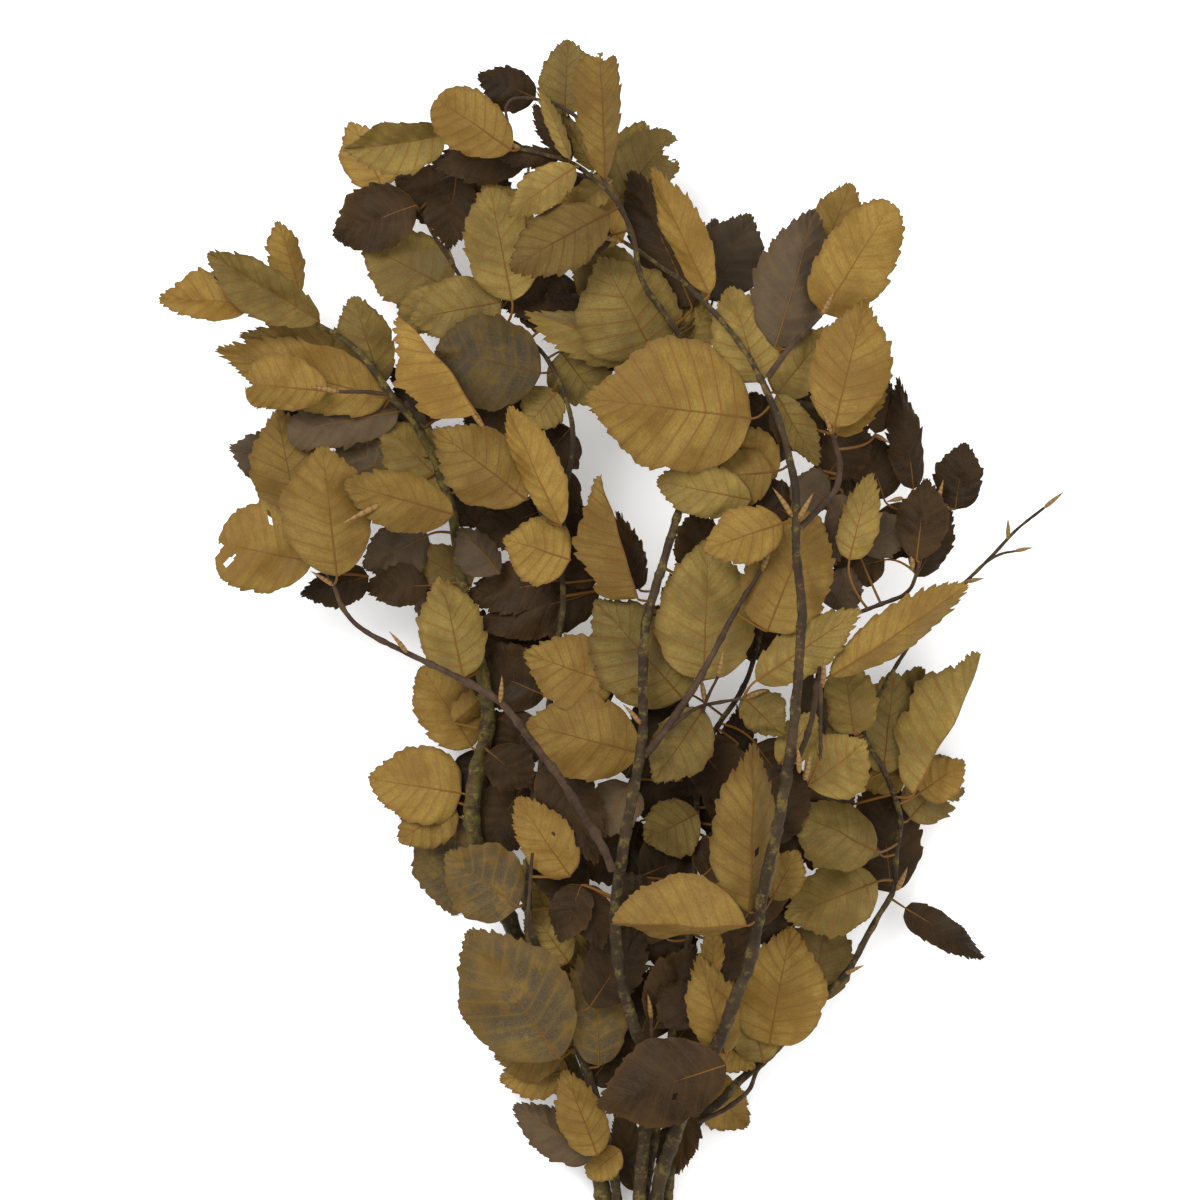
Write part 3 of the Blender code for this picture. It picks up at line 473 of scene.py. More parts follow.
        Leaf((26, 84), (44, 106), 34, 0, 28, "umber"),
        Leaf((-30, 124), (-10, 160), 30, 0, 30, "olive"),
        Leaf((2, 128), (18, 168), 30, 0, 30, "umber"),
        Leaf((-32, 214), (-4, 170), 30, 0, 36, "umber"),
        Leaf((6, 206), (-8, 166), 26, 0, 28, "umber"),
        Leaf((62, 150), (86, 190), 60, 0, 30, "umber"),
        Leaf((72, 196), (96, 236), 66, 0, 32, "umber"),
    ),
}

# Pointed winter buds: base and tip (x, y), height of the base, rise and largest radius.
BUDS = (
    Bud((48, 288), (51, 303), 109, 2, 1.4), Bud((41, 274), (38, 290), 102, 2, 1.4),
    Bud((62, 276), (76, 281), 100, 2, 1.5), Bud((72, 346), (77, 360), 115, 2, 1.6),
    Bud((88, 375), (77, 391), 141, 2, 1.5), Bud((91, 374), (99, 388), 141, 3, 1.5),
    Bud((95, 232), (98, 246), 122, 4, 1.7), Bud((92, 236), (91, 250), 128, 4, 1.5),
    Bud((105, 282), (106, 299), 112, 2, 1.4), Bud((-25, 531), (-3, 525), 103, 4, 1.6),
    Bud((-136, 383), (-159, 371), 103, 2, 1.7), Bud((-160, 444.5), (-176, 447), 92, 2, 1.5),
    Bud((-177, 364), (-186, 376), 70, -2, 1.5), Bud((-163, 338), (-176, 346), 89, 1, 1.3),
    Bud((-67, 592), (-64, 580), 101, -1, 1.3), Bud((229, 381), (240, 390), 72, 1, 1.3),
    Bud((209, 364), (209, 375), 70, 1, 1.2), Bud((213, 357), (223, 359), 71, 1, 1.1),
    Bud((186, 340), (196, 342), 67, 1, 1.2), Bud((149, 168), (155, 181), 36, 3, 1.6),
    Bud((134, 421), (143, 416), 92, 1, 1.3), Bud((150, 386), (141, 384), 92, 1, 1.3),
    Bud((155, 346), (154, 363), 97, 1, 1.5), Bud((168, 382), (172, 396), 95, 2, 1.4),
    Bud((-126, 555), (-138, 563), 44, 1, 1.4), Bud((-80, 424), (-90, 436), 94, 1, 1.5),
    Bud((-201, 491), (-214, 492), 87, 1, 1.3), Bud((12, 97), (10, 111), 50, 3, 1.5),
    Bud((54, 392), (50, 407), 90, 2, 1.4), Bud((104, 485), (111, 498), 124, 3, 1.4),
    Bud((110, 420), (104, 434), 129, 3, 1.4), Bud((-60, 577), (-74, 582), 107, 1, 1.4),
    Bud((-16, 540), (-26, 552), 84, 2, 1.3), Bud((37, 398), (30, 409), 99, 2, 1.4),
    Bud((120, 121), (131, 126), 31, 2, 1.3), Bud((6, 262), (-4, 273), 104, 3, 1.4),
    Bud((-122, 301), (-132, 313), 109, 2, 1.3), Bud((-71, 274), (-70, 289), 117, 2, 1.3),
)


# ---------------------------------------------------------------- sizes and colours a user may change

def length_property(label, text, default):
    """A length in metres, shown with its unit."""
    return FloatProperty(name=label, description=text, default=default, min=0.0, unit="LENGTH",
                         precision=5)


def colour_property(label, text, default):
    """A linear colour."""
    return FloatVectorProperty(name=label, description=text, default=default, min=0.0, max=1.0,
                               size=3, subtype="COLOR")


class BeechSizes(bpy.types.PropertyGroup):
    """Sizes of the fine surfaces."""

    blade: length_property("Blade thickness", "Thickness of a dry leaf", 0.00032)
    tooth: length_property("Tooth", "How far a tooth stands out of the margin", 0.0014)
    pleat: length_property("Pleat", "Height of a leaf's veins over the blade between them", 0.00034)
    wave: length_property("Wave", "Largest swing of a leaf's margin", 0.0026)
    buckle: length_property("Buckle", "Height of the slow swells of a blade", 0.0007)
    rib: length_property("Rib", "Radius of the midrib where it enters the blade", 0.00058)
    stalk: length_property("Stalk", "Radius of the leaf stalk", 0.00062)
    bark: length_property("Bark relief", "Height of the bark's bumps", 0.0003)
    moss: length_property("Moss relief", "Height of the moss cushions", 0.0007)


class BeechColours(bpy.types.PropertyGroup):
    """Colours of the leaves, the wood and the floor."""

    ochre: colour_property("Ochre", "Golden tan underside", (0.162, 0.09, 0.0115))
    ochre_light: colour_property("Ochre, light", "Its faded patches", (0.242, 0.153, 0.03))
    olive: colour_property("Olive", "Olive brown underside", (0.142, 0.094, 0.0155))
    olive_light: colour_property("Olive, light", "Its faded patches", (0.24, 0.168, 0.038))
    # Umber, the dark upper side, is also the tone of most leaves inside the bunch, where its darkness is
    # partly painted shade.
    umber: colour_property("Umber", "Dark brown upper side", (0.0085, 0.0045, 0.0014))
    umber_light: colour_property("Umber, light", "Its faded patches", (0.03, 0.0165, 0.0055))
    grey: colour_property("Grey", "Grey brown leaf", (0.052, 0.033, 0.016))
    grey_light: colour_property("Grey, light", "Its faded patches", (0.1, 0.068, 0.036))
    mottled: colour_property("Mottled", "Ground of the blotched leaves", (0.1, 0.058, 0.01))
    mottled_light: colour_property("Mottled, light", "Its faded patches", (0.15, 0.095, 0.022))
    blotch: colour_property("Blotch", "Blue grey bloom", (0.03, 0.028, 0.022))
    vein: colour_property("Vein", "Veins, ribs and stalks", (0.135, 0.058, 0.01))
    vein_pale: colour_property("Pale vein", "Veins on the dark upper side", (0.13, 0.075, 0.02))
    scorch: colour_property("Scorch", "Brown margins and spots", (0.06, 0.028, 0.008))
    bark: colour_property("Bark", "Brown grey bark", (0.022, 0.0135, 0.0065))
    bark_light: colour_property("Bark, light", "Its paler bands", (0.052, 0.034, 0.017))
    young: colour_property("Young bark", "Red brown twigs", (0.03, 0.016, 0.009))
    young_light: colour_property("Young bark, light", "Its waxy grey film", (0.07, 0.043, 0.026))
    lichen: colour_property("Lichen", "Yellow olive crust", (0.15, 0.11, 0.024))
    moss: colour_property("Moss", "Dry moss", (0.075, 0.056, 0.01))
    bud: colour_property("Bud", "Bud scales", (0.19, 0.095, 0.018))
    bud_tip: colour_property("Bud, edges", "Scale edges", (0.09, 0.036, 0.01))
    cut_wood: colour_property("Cut wood", "The cut ends", (0.36, 0.24, 0.12))
    floor: colour_property("Floor", "The pale floor", (0.95, 0.95, 0.95))


def sizes_mm():
    """The fine sizes in the schedules' millimetres."""
    group = bpy.context.scene.beech_sizes
    return {key: getattr(group, key) / MM for key in BeechSizes.__annotations__}


# ---------------------------------------------------------------- shapes

def unit(vectors):
    """Scale vectors, one to a row, to length one."""
    return vectors / np.linalg.norm(vectors, axis=-1, keepdims=True)


def smooth_route(points, spacing):
    """A Catmull-Rom curve through the points: a cubic in each span, read at about the spacing."""
    points = np.array(points, dtype=float)
    padded = np.vstack([2 * points[0] - points[1], points, 2 * points[-1] - points[-2]])
    samples = [points[:1]]
    for index in range(len(points) - 1):
        p0, p1, p2, p3 = padded[index:index + 4]
        count = max(1, round(float(np.linalg.norm(p2 - p1)) / spacing))
        u = (np.arange(1, count + 1) / count)[:, None]
        curve = 2 * p1 + (p2 - p0) * u
        curve = curve + (2 * p0 - 5 * p1 + 4 * p2 - p3) * u**2
        curve = curve + (3 * p1 - p0 - 3 * p2 + p3) * u**3
        samples.append(curve / 2)
    return np.vstack(samples)


def lengths_along(centres):
    """Length of the path up to each of its points."""
    return np.concatenate([[0.0], np.cumsum(np.linalg.norm(np.diff(centres, axis=0), axis=1))])


def taper(radii, centres):
    """Radius at each point: straight from first to middle and from middle to last, by length."""
    along = lengths_along(centres)
    return np.interp(along / along[-1], (0.0, 0.5, 1.0), radii)


def ripple(points, wavelength, seed):
    """Smooth bumps between about -1 and 1: the sum of ten sine waves in seeded directions."""
    chance = np.random.default_rng(seed)
    directions = unit(chance.normal(size=(10, 3)))
    rates = 2 * math.pi / wavelength * chance.uniform(0.6, 1.6, size=(10, 1))
    shifts = chance.uniform(0.0, 2 * math.pi, size=10)
    return np.sin(points @ (directions * rates).T + shifts).sum(axis=-1) / 4


def grid_quads(rows, columns):
    """Quads of a grid whose last column meets its first."""
    row = np.arange(rows - 1)[:, None] * columns
    here = np.arange(columns)[None]
    there = (here + 1) % columns
    above = row + columns
    return np.stack([row + here, row + there, above + there, above + here], -1).reshape(-1, 4)


def tube_rings(centres, radii, sides):
    """Rings square to a path: centre + radius * (cos turn * side + sin turn * up).

    Side is a world axis, the one the path keeps furthest from, with its share along the path removed.
    Radii holds one number for each ring, or one for each corner of each ring.
    """
    heading = unit(np.gradient(centres, axis=0))
    reference = np.eye(3)[np.argmin(np.abs(heading).max(axis=0))]
    side = unit(reference - (heading @ reference)[:, None] * heading)
    up = np.cross(heading, side)
    turn = np.linspace(0.0, 2 * math.pi, sides, endpoint=False)[None, :, None]
    ring = np.cos(turn) * side[:, None] + np.sin(turn) * up[:, None]
    radii = np.asarray(radii, dtype=float).reshape(len(centres), -1)
    return centres[:, None] + np.broadcast_to(radii, (len(centres), sides))[..., None] * ring


def closed_tube(rings, marks, tint):
    """A shell of rings with a fan of triangles over each end. Marks hold three numbers a ring."""
    rows, sides = rings.shape[:2]
    points = np.vstack([rings.reshape(-1, 3), rings[0].mean(axis=0)[None], rings[-1].mean(axis=0)[None]])
    here = np.arange(sides)
    there = (here + 1) % sides
    last = (rows - 1) * sides
    first_pole = np.full(sides, rows * sides)
    faces = grid_quads(rows, sides).tolist()
    faces += np.stack([first_pole, there, here], -1).tolist()
    faces += np.stack([first_pole + 1, last + here, last + there], -1).tolist()
    spread = np.vstack([np.repeat(marks, sides, axis=0), marks[:1], marks[-1:]])
    return Shell(points, faces, spread, tint)


def outline(along, tip_power, base_power=OUTLINE_BASE_POWER, point=0.0):
    """Half-width of a beech blade as a share of its widest: a power of s times a power of 1 - s.

    The point takes a share off the shoulders near the tip, so that the tip is drawn out.
    """
    widest = base_power / (base_power + tip_power)
    peak = widest**base_power * (1 - widest)**tip_power
    ahead = np.clip((along - POINT_FROM) / (1 - POINT_FROM), 0, 1)
    return along**base_power * (1 - along)**tip_power / peak * (1 - point * ahead**1.5)


def blade_axes(leaf):
    """Chord from base to tip, then the leaf's right side and its upper face, after the roll."""
    chord = np.array([leaf.tip[0] - leaf.base[0], leaf.tip[1] - leaf.base[1], leaf.rise], dtype=float)
    ahead = chord / np.linalg.norm(chord)
    level = unit(np.cross(ahead, (0.0, 0.0, 1.0)))
    upright = np.cross(level, ahead)
    roll = math.radians(leaf.roll)
    right = math.cos(roll) * level - math.sin(roll) * upright
    face = math.cos(roll) * upright + math.sin(roll) * level
    return chord, ahead, right, face


def vein_count(leaf):
    """Veins on each half: more on a longer leaf, from five to ten."""
    span = math.hypot(leaf.tip[0] - leaf.base[0], leaf.tip[1] - leaf.base[1])
    return int(np.clip(round(4 + span / 15), 5, 10))


def leaf_chance(leaf):
    """The leaf's own seeded source of chance, set by where it grows."""
    return np.random.default_rng(abs(int(leaf.base[0] * 131 + leaf.base[1] * 17 + leaf.tip[0] * 7)) + 11)


def leaf_tint(leaf):
    """Three numbers that set one leaf apart: two shifts of its pattern, then its lightness, which is its
    own tone where chance sets it and partly painted shading where the schedule sets it.
    """
    tint = leaf_chance(leaf).uniform(0, 1, size=3)
    tint[2] = 0.35 + 0.6 * tint[2] if leaf.shade is None else leaf.shade
    return tint


def blade_margin(leaf, edge, side, chance):
    """Half-width where each vein ends, and the turn at which the first lobe starts.

    The outline's halves are uneven, and each swells by a small share of a sum of three sines.
    """
    point = chance.uniform(*POINT_SHARES) if leaf.tip_power == OUTLINE_TIP_POWER else 0.0
    base_power = OUTLINE_BASE_POWER + chance.uniform(*BASE_POWER_SPREAD)
    margin = leaf.width / 2 * outline(edge, leaf.tip_power, base_power, point)
    margin = margin * (1 + side * chance.uniform(-UNEVEN_HALVES, UNEVEN_HALVES) * np.sin(math.pi * edge))
    lobes = chance.uniform(0, 2 * math.pi, size=(2, len(LOBE_RATES)))
    swell = [sum(np.sin(2 * math.pi * rate * edge + lobe) for rate, lobe in zip(LOBE_RATES, row))
             for row in lobes]
    margin = margin * (1 + LOBE_SWELL * np.where(side < 0, swell[0], swell[1]))
    return np.maximum(margin, STALK_WIDTH / 3), lobes[0, 0]


def tooth_heights(phase, side, veins, spacing, first_lobe, tooth, chance):
    """How far the margin stands out: a saw with a tooth for each vein, uneven in depth, with nibbles."""
    within = np.mod(phase, 1.0)[:, None]
    saw = np.where(within < TOOTH_DROP, 1 - within / TOOTH_DROP, (within - TOOTH_DROP) / (1 - TOOTH_DROP))
    whole = np.minimum(np.floor(phase + 1 - TOOTH_DROP).astype(int), veins + 1)[:, None]
    uneven = chance.uniform(0.1, 1.0, size=(veins + 2, 2))**1.4 * 1.9
    depth = np.where(side < 0, uneven[whole, 0], uneven[whole, 1]) * tooth
    depth = np.minimum(depth, DEEPEST_TOOTH * spacing)
    nibble = np.minimum(0.22 * tooth, DEEPEST_NIBBLE * spacing)
    nibble = nibble * np.sin(phase[:, None] * (NIBBLE_RATE + 4.1 * side) + first_lobe)
    return depth * (saw - 0.45) + nibble


def blade_relief(leaf, phase, across, s, margin, fade, sizes, chance):
    """How far the sheet leaves its smooth arc: pleats at the veins, waves, swells, twist and tip."""
    side = np.sign(across)[None]
    reach = np.abs(across)[None]
    veins_out = 1.0 if leaf.tone != "umber" else -1.0
    ridge = (0.5 + 0.5 * np.cos(2 * math.pi * phase[:, None]))**2 - 0.375
    pleat = veins_out * sizes["pleat"] * ridge * fade[:, None]
    pleat = pleat * np.sin(math.pi * np.minimum(reach, 1)**0.7)
    scale = min(1.0, leaf.width / FULL_SWING_WIDTH)
    swing = sizes["wave"] * chance.uniform(0.25, 1.0, size=2) * scale
    rate = chance.uniform(*SWING_RATES, size=2)
    start = chance.uniform(0, 2 * math.pi, size=2)
    waves = [swing[half] * np.sin(2 * math.pi * rate[half] * s + start[half]) for half in (0, 1)]
    wave = np.where(side < 0, *waves) * reach**2
    buckles = BUCKLE_RATES + chance.uniform(-0.25, 0.25, size=3)
    shifts = chance.uniform(0, 2 * math.pi, size=3)
    buckle = sum(np.sin(2 * math.pi * rate * s + shift + 1.9 * across[None] * (1 + index))
                 for index, (rate, shift) in enumerate(zip(buckles, shifts)))
    buckle = sizes["buckle"] * scale * buckle * np.sin(math.pi * np.clip(s, 0, 1))
    crimp = 0.35 * sizes["tooth"] * reach**5
    crimp = crimp * np.cos(2 * math.pi * (phase[:, None] + 0.25 * side)) * fade[:, None]
    twist = math.radians(chance.uniform(-MOST_TWIST, MOST_TWIST)) * (s - 0.4) * side * reach * margin
    tip_turn = chance.uniform(*TIP_TURNS) * scale * np.clip(s - TIP_FROM, 0, 1)**2 * 8
    return pleat + wave + buckle + crimp + twist - tip_turn


def blade_sheet(leaf, base, phase, across, sizes):
    """Points of the blade's middle sheet on a grid of vein number by place across.

    Vein number p leaves the midrib at share u = p / (veins + 1) of its length and meets the margin at
    1 - (1 - u) ** sweep, so each row of the grid runs along a vein. The midrib is an arc over the
    chord. Each half leaves it at the fold angle and curls on at a steady rate to the margin. Teeth
    lengthen the row towards each vein's end; the relief moves the sheet along its normal.
    """
    chance = leaf_chance(leaf)
    veins = vein_count(leaf)
    chord, ahead, right, face = blade_axes(leaf)
    length = np.linalg.norm(chord)
    u = np.minimum(phase / (veins + 1), LAST_ROW)[:, None]
    edge = 1 - (1 - u)**VEIN_SWEEP
    side = np.sign(across)[None]
    reach = np.abs(across)[None]
    margin, first_lobe = blade_margin(leaf, edge, side, chance)
    spacing = length * VEIN_SWEEP * (1 - u)**(VEIN_SWEEP - 1) / (veins + 1)
    stand = tooth_heights(phase, side, veins, spacing, first_lobe, sizes["tooth"], chance)
    fade = np.clip((phase - 0.3) / 0.9, 0, 1) * np.clip((veins + 1.2 - phase) / 0.8, 0, 1)
    stretched = reach * (1 + np.minimum(stand / margin, 0.3) * fade[:, None] * reach**6)

    s = u + (edge - u) * stretched**VEIN_CURVE
    bend = math.radians(leaf.bend)
    radius = length / (2 * math.sin(bend / 2))
    turn = bend * (s - 0.5)
    forward = length / 2 + radius * np.sin(turn)
    rise = radius * (np.cos(turn) - math.cos(bend / 2))
    lift = np.cos(turn)[..., None] * face + np.sin(turn)[..., None] * ahead
    fold = math.radians(leaf.fold)
    curl = -math.radians(MARGIN_CURL_DEG)
    out = (np.sin(fold + curl * stretched) - math.sin(fold)) / curl
    high = -(np.cos(fold + curl * stretched) - math.cos(fold)) / curl
    relief = blade_relief(leaf, phase, across, s, margin, fade, sizes, chance)

    sheet = base + forward[..., None] * ahead + rise[..., None] * face
    sheet = sheet + (margin * out * side)[..., None] * right
    sheet = sheet + (margin * high + relief)[..., None] * lift
    sheet[..., 2] = np.maximum(sheet[..., 2], sizes["blade"])
    return sheet


def kept_cells(leaf, phase, across):
    """Cells of the blade's grid that are still there: all but those inside a tear's ragged oval.

    A tear that reaches the margin or the tip has its middle there, so half of its oval is lost.
    """
    chance = leaf_chance(leaf)
    row = (phase[:-1] + phase[1:])[:, None] / 2
    column = (across[:-1] + across[1:])[None] / 2
    keep = np.ones((len(phase) - 1, len(across) - 1), dtype=bool)
    for first, last, low, high in leaf.torn:
        middle_row = last if last > phase[-1] else (first + last) / 2
        middle_column = high if high >= 1 else (low if low <= -1 else (low + high) / 2)
        rows = (row - middle_row) / max(middle_row - first, 0.2)
        columns = (column - middle_column) / max(middle_column - low, high - middle_column, 0.08)
        ragged = 1 + chance.uniform(-0.3, 0.3, size=keep.shape)
        keep &= rows**2 + columns**2 > ragged
    return keep


def sheet_faces(keep):
    """Upper quads, lower quads and rim walls of a blade whose kept cells are marked."""
    rows, columns = keep.shape
    corner = np.arange((rows + 1) * (columns + 1)).reshape(rows + 1, columns + 1)
    under = corner.size
    a, b, c, d = corner[:-1, :-1], corner[:-1, 1:], corner[1:, 1:], corner[1:, :-1]
    framed = np.pad(keep, 1)
    faces = [np.stack([a, b, c, d], -1)[keep], np.stack([a, d, c, b], -1)[keep] + under]
    borders = (
        (a, b, framed[:-2, 1:-1]), (b, c, framed[1:-1, 2:]),
        (c, d, framed[2:, 1:-1]), (d, a, framed[1:-1, :-2]))
    for start, end, beyond in borders:
        rim = keep & ~beyond
        faces.append(np.stack([end, start, start + under, end + under], -1)[rim])
    return np.vstack(faces)


def sheet_normals(sheet):
    """The unit normal at each point of a grid: its step across crossed with its step ahead."""
    return unit(np.cross(np.gradient(sheet, axis=1), np.gradient(sheet, axis=0)))


def blade_shell(leaf, base, sizes):
    """A closed thin shell around the blade's sheet, half its thickness to each side along the normal."""
    veins = vein_count(leaf)
    phase = np.arange((veins + 1) * ROWS_PER_VEIN + 1) / ROWS_PER_VEIN
    half = WIDE_HALF if leaf.width > WIDE_FROM else NARROW_HALF
    across = np.array([-place for place in half[:0:-1]] + list(half))
    sheet = blade_sheet(leaf, base, phase, across, sizes)
    offset = sheet_normals(sheet) * sizes["blade"] / 2
    points = np.vstack([(sheet + offset).reshape(-1, 3), (sheet - offset).reshape(-1, 3)])
    faces = sheet_faces(kept_cells(leaf, phase, across))
    marks = np.stack(np.broadcast_arrays(across[None], phase[:, None], 1.0), -1).reshape(-1, 3)
    marks = np.vstack([marks, marks * (1, 1, 0)])
    used, packed = np.unique(faces, return_inverse=True)
    return Shell(points[used], packed.reshape(faces.shape).tolist(), marks[used], leaf_tint(leaf))


def rib_shell(leaf, base, root, sizes):
    """Stalk and midrib in one tapered tube: a parabola from the twig to the base, then the midrib."""
    _, ahead, _, face = blade_axes(leaf)
    reach = float(np.linalg.norm(base - root))
    behind = float(np.clip(np.dot(base - root, ahead) / max(reach, 0.01), 0.12, 1))
    pull = base - ahead * 0.5 * reach * behind
    steps = 4 + int(reach / 3)
    u = (np.arange(steps) / steps)[:, None]
    stalk = (1 - u)**2 * root + 2 * u * (1 - u) * pull + u**2 * base
    last = min([vein_count(leaf) + 0.6] + [first for first, _, low, high in leaf.torn if low < 0 < high])
    phase = np.linspace(0.0, last, RIB_ROWS)
    midrib = blade_sheet(leaf, base, phase, np.zeros(1), sizes)[:, 0]
    under = -0.3 if leaf.tone == "umber" else 0.22
    midrib = midrib + face * under * sizes["rib"]
    centres = np.vstack([stalk, midrib])
    fat = np.linspace(sizes["stalk"] * 1.35, sizes["stalk"], steps)
    thin = np.linspace(1.0, 0.16, RIB_ROWS) * sizes["rib"] * min(1.0, leaf.width / 40 + 0.25)
    rings = tube_rings(centres, np.concatenate([fat, thin]), 6)
    marks = np.tile((0.0, -1.0, 1.0), (len(centres), 1))
    return closed_tube(rings, marks, leaf_tint(leaf))


def bark_shell(wood, sizes):
    """Bark around a route: the taper, times a swelling at each node, plus bumps.

    Nodes come at uneven steps; each is a bell curve over the length. Bumps are ripples of the place.
    """
    chance = np.random.default_rng(len(wood.name) * 97 + len(wood.route))
    centres = smooth_route(wood.route, RING_SPACING)
    along = lengths_along(centres)
    radius = taper(wood.radii, centres)
    nodes = np.cumsum(chance.uniform(*NODE_STEPS, size=60))
    bells = np.exp(-((along[:, None] - nodes[None]) / NODE_LENGTH)**2).sum(axis=1)
    swell = 1 + (0.34 if wood.finish == "young" else 0.2) * bells
    scars = np.exp(-((along[:, None] - nodes[None, ::4] - 4) / SCAR_LENGTH)**2).sum(axis=1)
    scars = 1 + 0.05 * scars * np.sin(along * 4)
    sides = 18 if radius.max() > THICK_FROM else 12
    smooth = tube_rings(centres, radius, sides)
    coarse = ripple(smooth, 9.0, 3) + 0.6 * ripple(smooth, 3.6, 5)
    bumps = np.minimum(sizes["bark"], 0.11 * radius)[:, None] * coarse
    if wood.finish == "moss":
        cushions = sizes["moss"] * np.clip(ripple(smooth, 14.0, 8) + 0.3, 0, 1)
        bumps = bumps + cushions * (0.6 + 0.4 * ripple(smooth, 2.4, 9))
    rings = tube_rings(centres, (radius * swell * scars)[:, None] + bumps, sides)
    rings[..., 2] = np.maximum(rings[..., 2], 0)
    inner = rings[0].mean(axis=0) + (rings[0] - rings[0].mean(axis=0)) * 0.86
    rings = np.concatenate([inner[None], rings])
    marks = np.zeros((len(rings), 3))
    marks[0] = 1.0
    marks[1:, 1] = along
    return closed_tube(rings, marks, chance.uniform(0, 1, size=3))


def bud_shell(bud):
    """A pointed bud: its radius is a skewed sine of the length, ridged where each scale ends."""
    start = np.array([*bud.base, bud.height], dtype=float)
    end = np.array([*bud.tip, bud.height + bud.rise], dtype=float)
    u = np.linspace(0.0, 1.0, 21)
    sag = 0.05 * np.linalg.norm(end - start) * np.sin(math.pi * u)
    centres = start + u[:, None] * (end - start) + sag[:, None] * np.array([0.3, 0.3, 1.0])
    profile = np.maximum(np.sin(math.pi * u**0.72)**0.85, 0.0) * (1 - 0.25 * u) + 0.3 * (1 - u)**3 + 0.03
    turn = np.linspace(0.0, 1.0, 10, endpoint=False)[None]
    scale = np.mod(u[:, None] * 6 + 2 * turn, 1.0)
    rings = tube_rings(centres, bud.radius * profile[:, None] * (1.08 - 0.16 * scale), 10)
    marks = np.stack([u, np.zeros(21), np.ones(21)], -1)
    return closed_tube(rings, marks, np.array([bud.radius % 1, 0.5, 0.5]))


# ---------------------------------------------------------------- where the leaves go

def wood_lines(schedule):
    """Centre points and radii of the given wood, close together."""
    lines = [smooth_route(wood.route, 2.0) for wood in schedule]
    radii = [taper(wood.radii, line) for wood, line in zip(schedule, lines)]
    return np.vstack(lines), np.concatenate(radii)


def nearest_on_wood(centres, radii, point):
    """The spot just inside the bark that is nearest to a point."""
    distance = np.linalg.norm(centres - point, axis=1)
    nearest = int(np.argmin(distance - radii))
    outward = (point - centres[nearest]) / max(distance[nearest], 0.01)
    return centres[nearest] + outward * min(radii[nearest] * 0.85, distance[nearest] * 0.8)


def node_tree(name):
    """A search tree over one of the frame's solids."""
    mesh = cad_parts[name].data
    points = [vertex.co.copy() for vertex in mesh.vertices]
    return BVHTree.FromPolygons(points, [tuple(face.vertices) for face in mesh.polygons])


def plain_blade(leaf, base):
    """A coarse closed blade in metres, for finding blades that meet: its points and faces."""
    flat = {"tooth": 0.0, "pleat": 0.0, "wave": 0.0, "buckle": 0.0, "blade": 0.8}
    phase = np.linspace(0.1, vein_count(leaf) + 0.9, 7)
    sheet = blade_sheet(leaf, base, phase, np.linspace(-1, 1, 5), flat)
    offset = sheet_normals(sheet) * flat["blade"] / 2
    points = np.vstack([(sheet + offset).reshape(-1, 3), (sheet - offset).reshape(-1, 3)])
    return (points + GRIP) * MM, sheet_faces(np.ones((6, 4), dtype=bool)).tolist()


def lift_of(name, leaf):
    """How far the frame's solid of this leaf stands above the schedule, measured at its tip."""
    base = np.array([*leaf.base, leaf.height], dtype=float)
    tip = base + blade_axes(leaf)[0]
    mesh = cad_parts[name].data
    places = np.empty(len(mesh.vertices) * 3)
    mesh.vertices.foreach_get("co", places)
    places = places.reshape(-1, 3) / MM - GRIP
    near = np.linalg.norm(places[:, :2] - tip[:2], axis=1)
    closest = near < near.min() + 0.6
    return float(places[closest, 2].mean() - tip[2])


def free_base(leaf, placed):
    """Base of a smaller leaf at the free height nearest to its own, lower ones first."""
    steps = [0.0]
    for step in np.arange(1.0, MOST_NUDGE):
        steps += [-step, step / 2]
    for step in steps:
        base = np.array([*leaf.base, leaf.height + step], dtype=float)
        points, faces = plain_blade(leaf, base)
        if points[:, 2].min() < FLOOR_CLEARANCE * MM:
            continue
        tree = BVHTree.FromPolygons([Vector(point) for point in points], faces)
        if not any(tree.overlap(other) for other in placed):
            placed.append(tree)
            return base
    return np.array([*leaf.base, leaf.height], dtype=float)


# ---------------------------------------------------------------- pieces

def add_piece(name, shells, material, slot, *replaced):
    """One mesh object of closed shells, given in schedule millimetres, riding on the bunch."""
    points = []
    faces = []
    start = 0
    for shell in shells:
        points.append(shell.points)
        faces.extend([[corner + start for corner in face] for face in shell.faces])
        start += len(shell.points)
    mesh = bpy.data.meshes.new(name)
    mesh.from_pydata(((np.vstack(points) + GRIP) * MM).tolist(), [], faces)
    marks = np.vstack([shell.marks for shell in shells])
    tints = np.vstack([np.tile(shell.tint, (len(shell.points), 1)) for shell in shells])
    for label, values in (("marks", marks), ("tint", tints)):
        attribute = mesh.attributes.new(label, "FLOAT_VECTOR", "POINT")
        attribute.data.foreach_set("vector", values.astype(np.float32).ravel())
    mesh.shade_smooth()
    mesh.set_sharp_from_angle(angle=math.radians(SHARP_FROM))
    mesh.materials.append(material)
    piece = bpy.data.objects.new(name, mesh)
    bpy.context.scene.collection.objects.link(piece)
    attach(piece, "root")
    if replaced:
        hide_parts(*replaced)
    return piece


def leaf_shells(leaf, base, centres, radii, sizes):
    """The blade and the ribbed stalk of one leaf."""
    root = nearest_on_wood(centres, radii, base)
    return [blade_shell(leaf, base, sizes), rib_shell(leaf, base, root, sizes)]


# ---------------------------------------------------------------- finishes

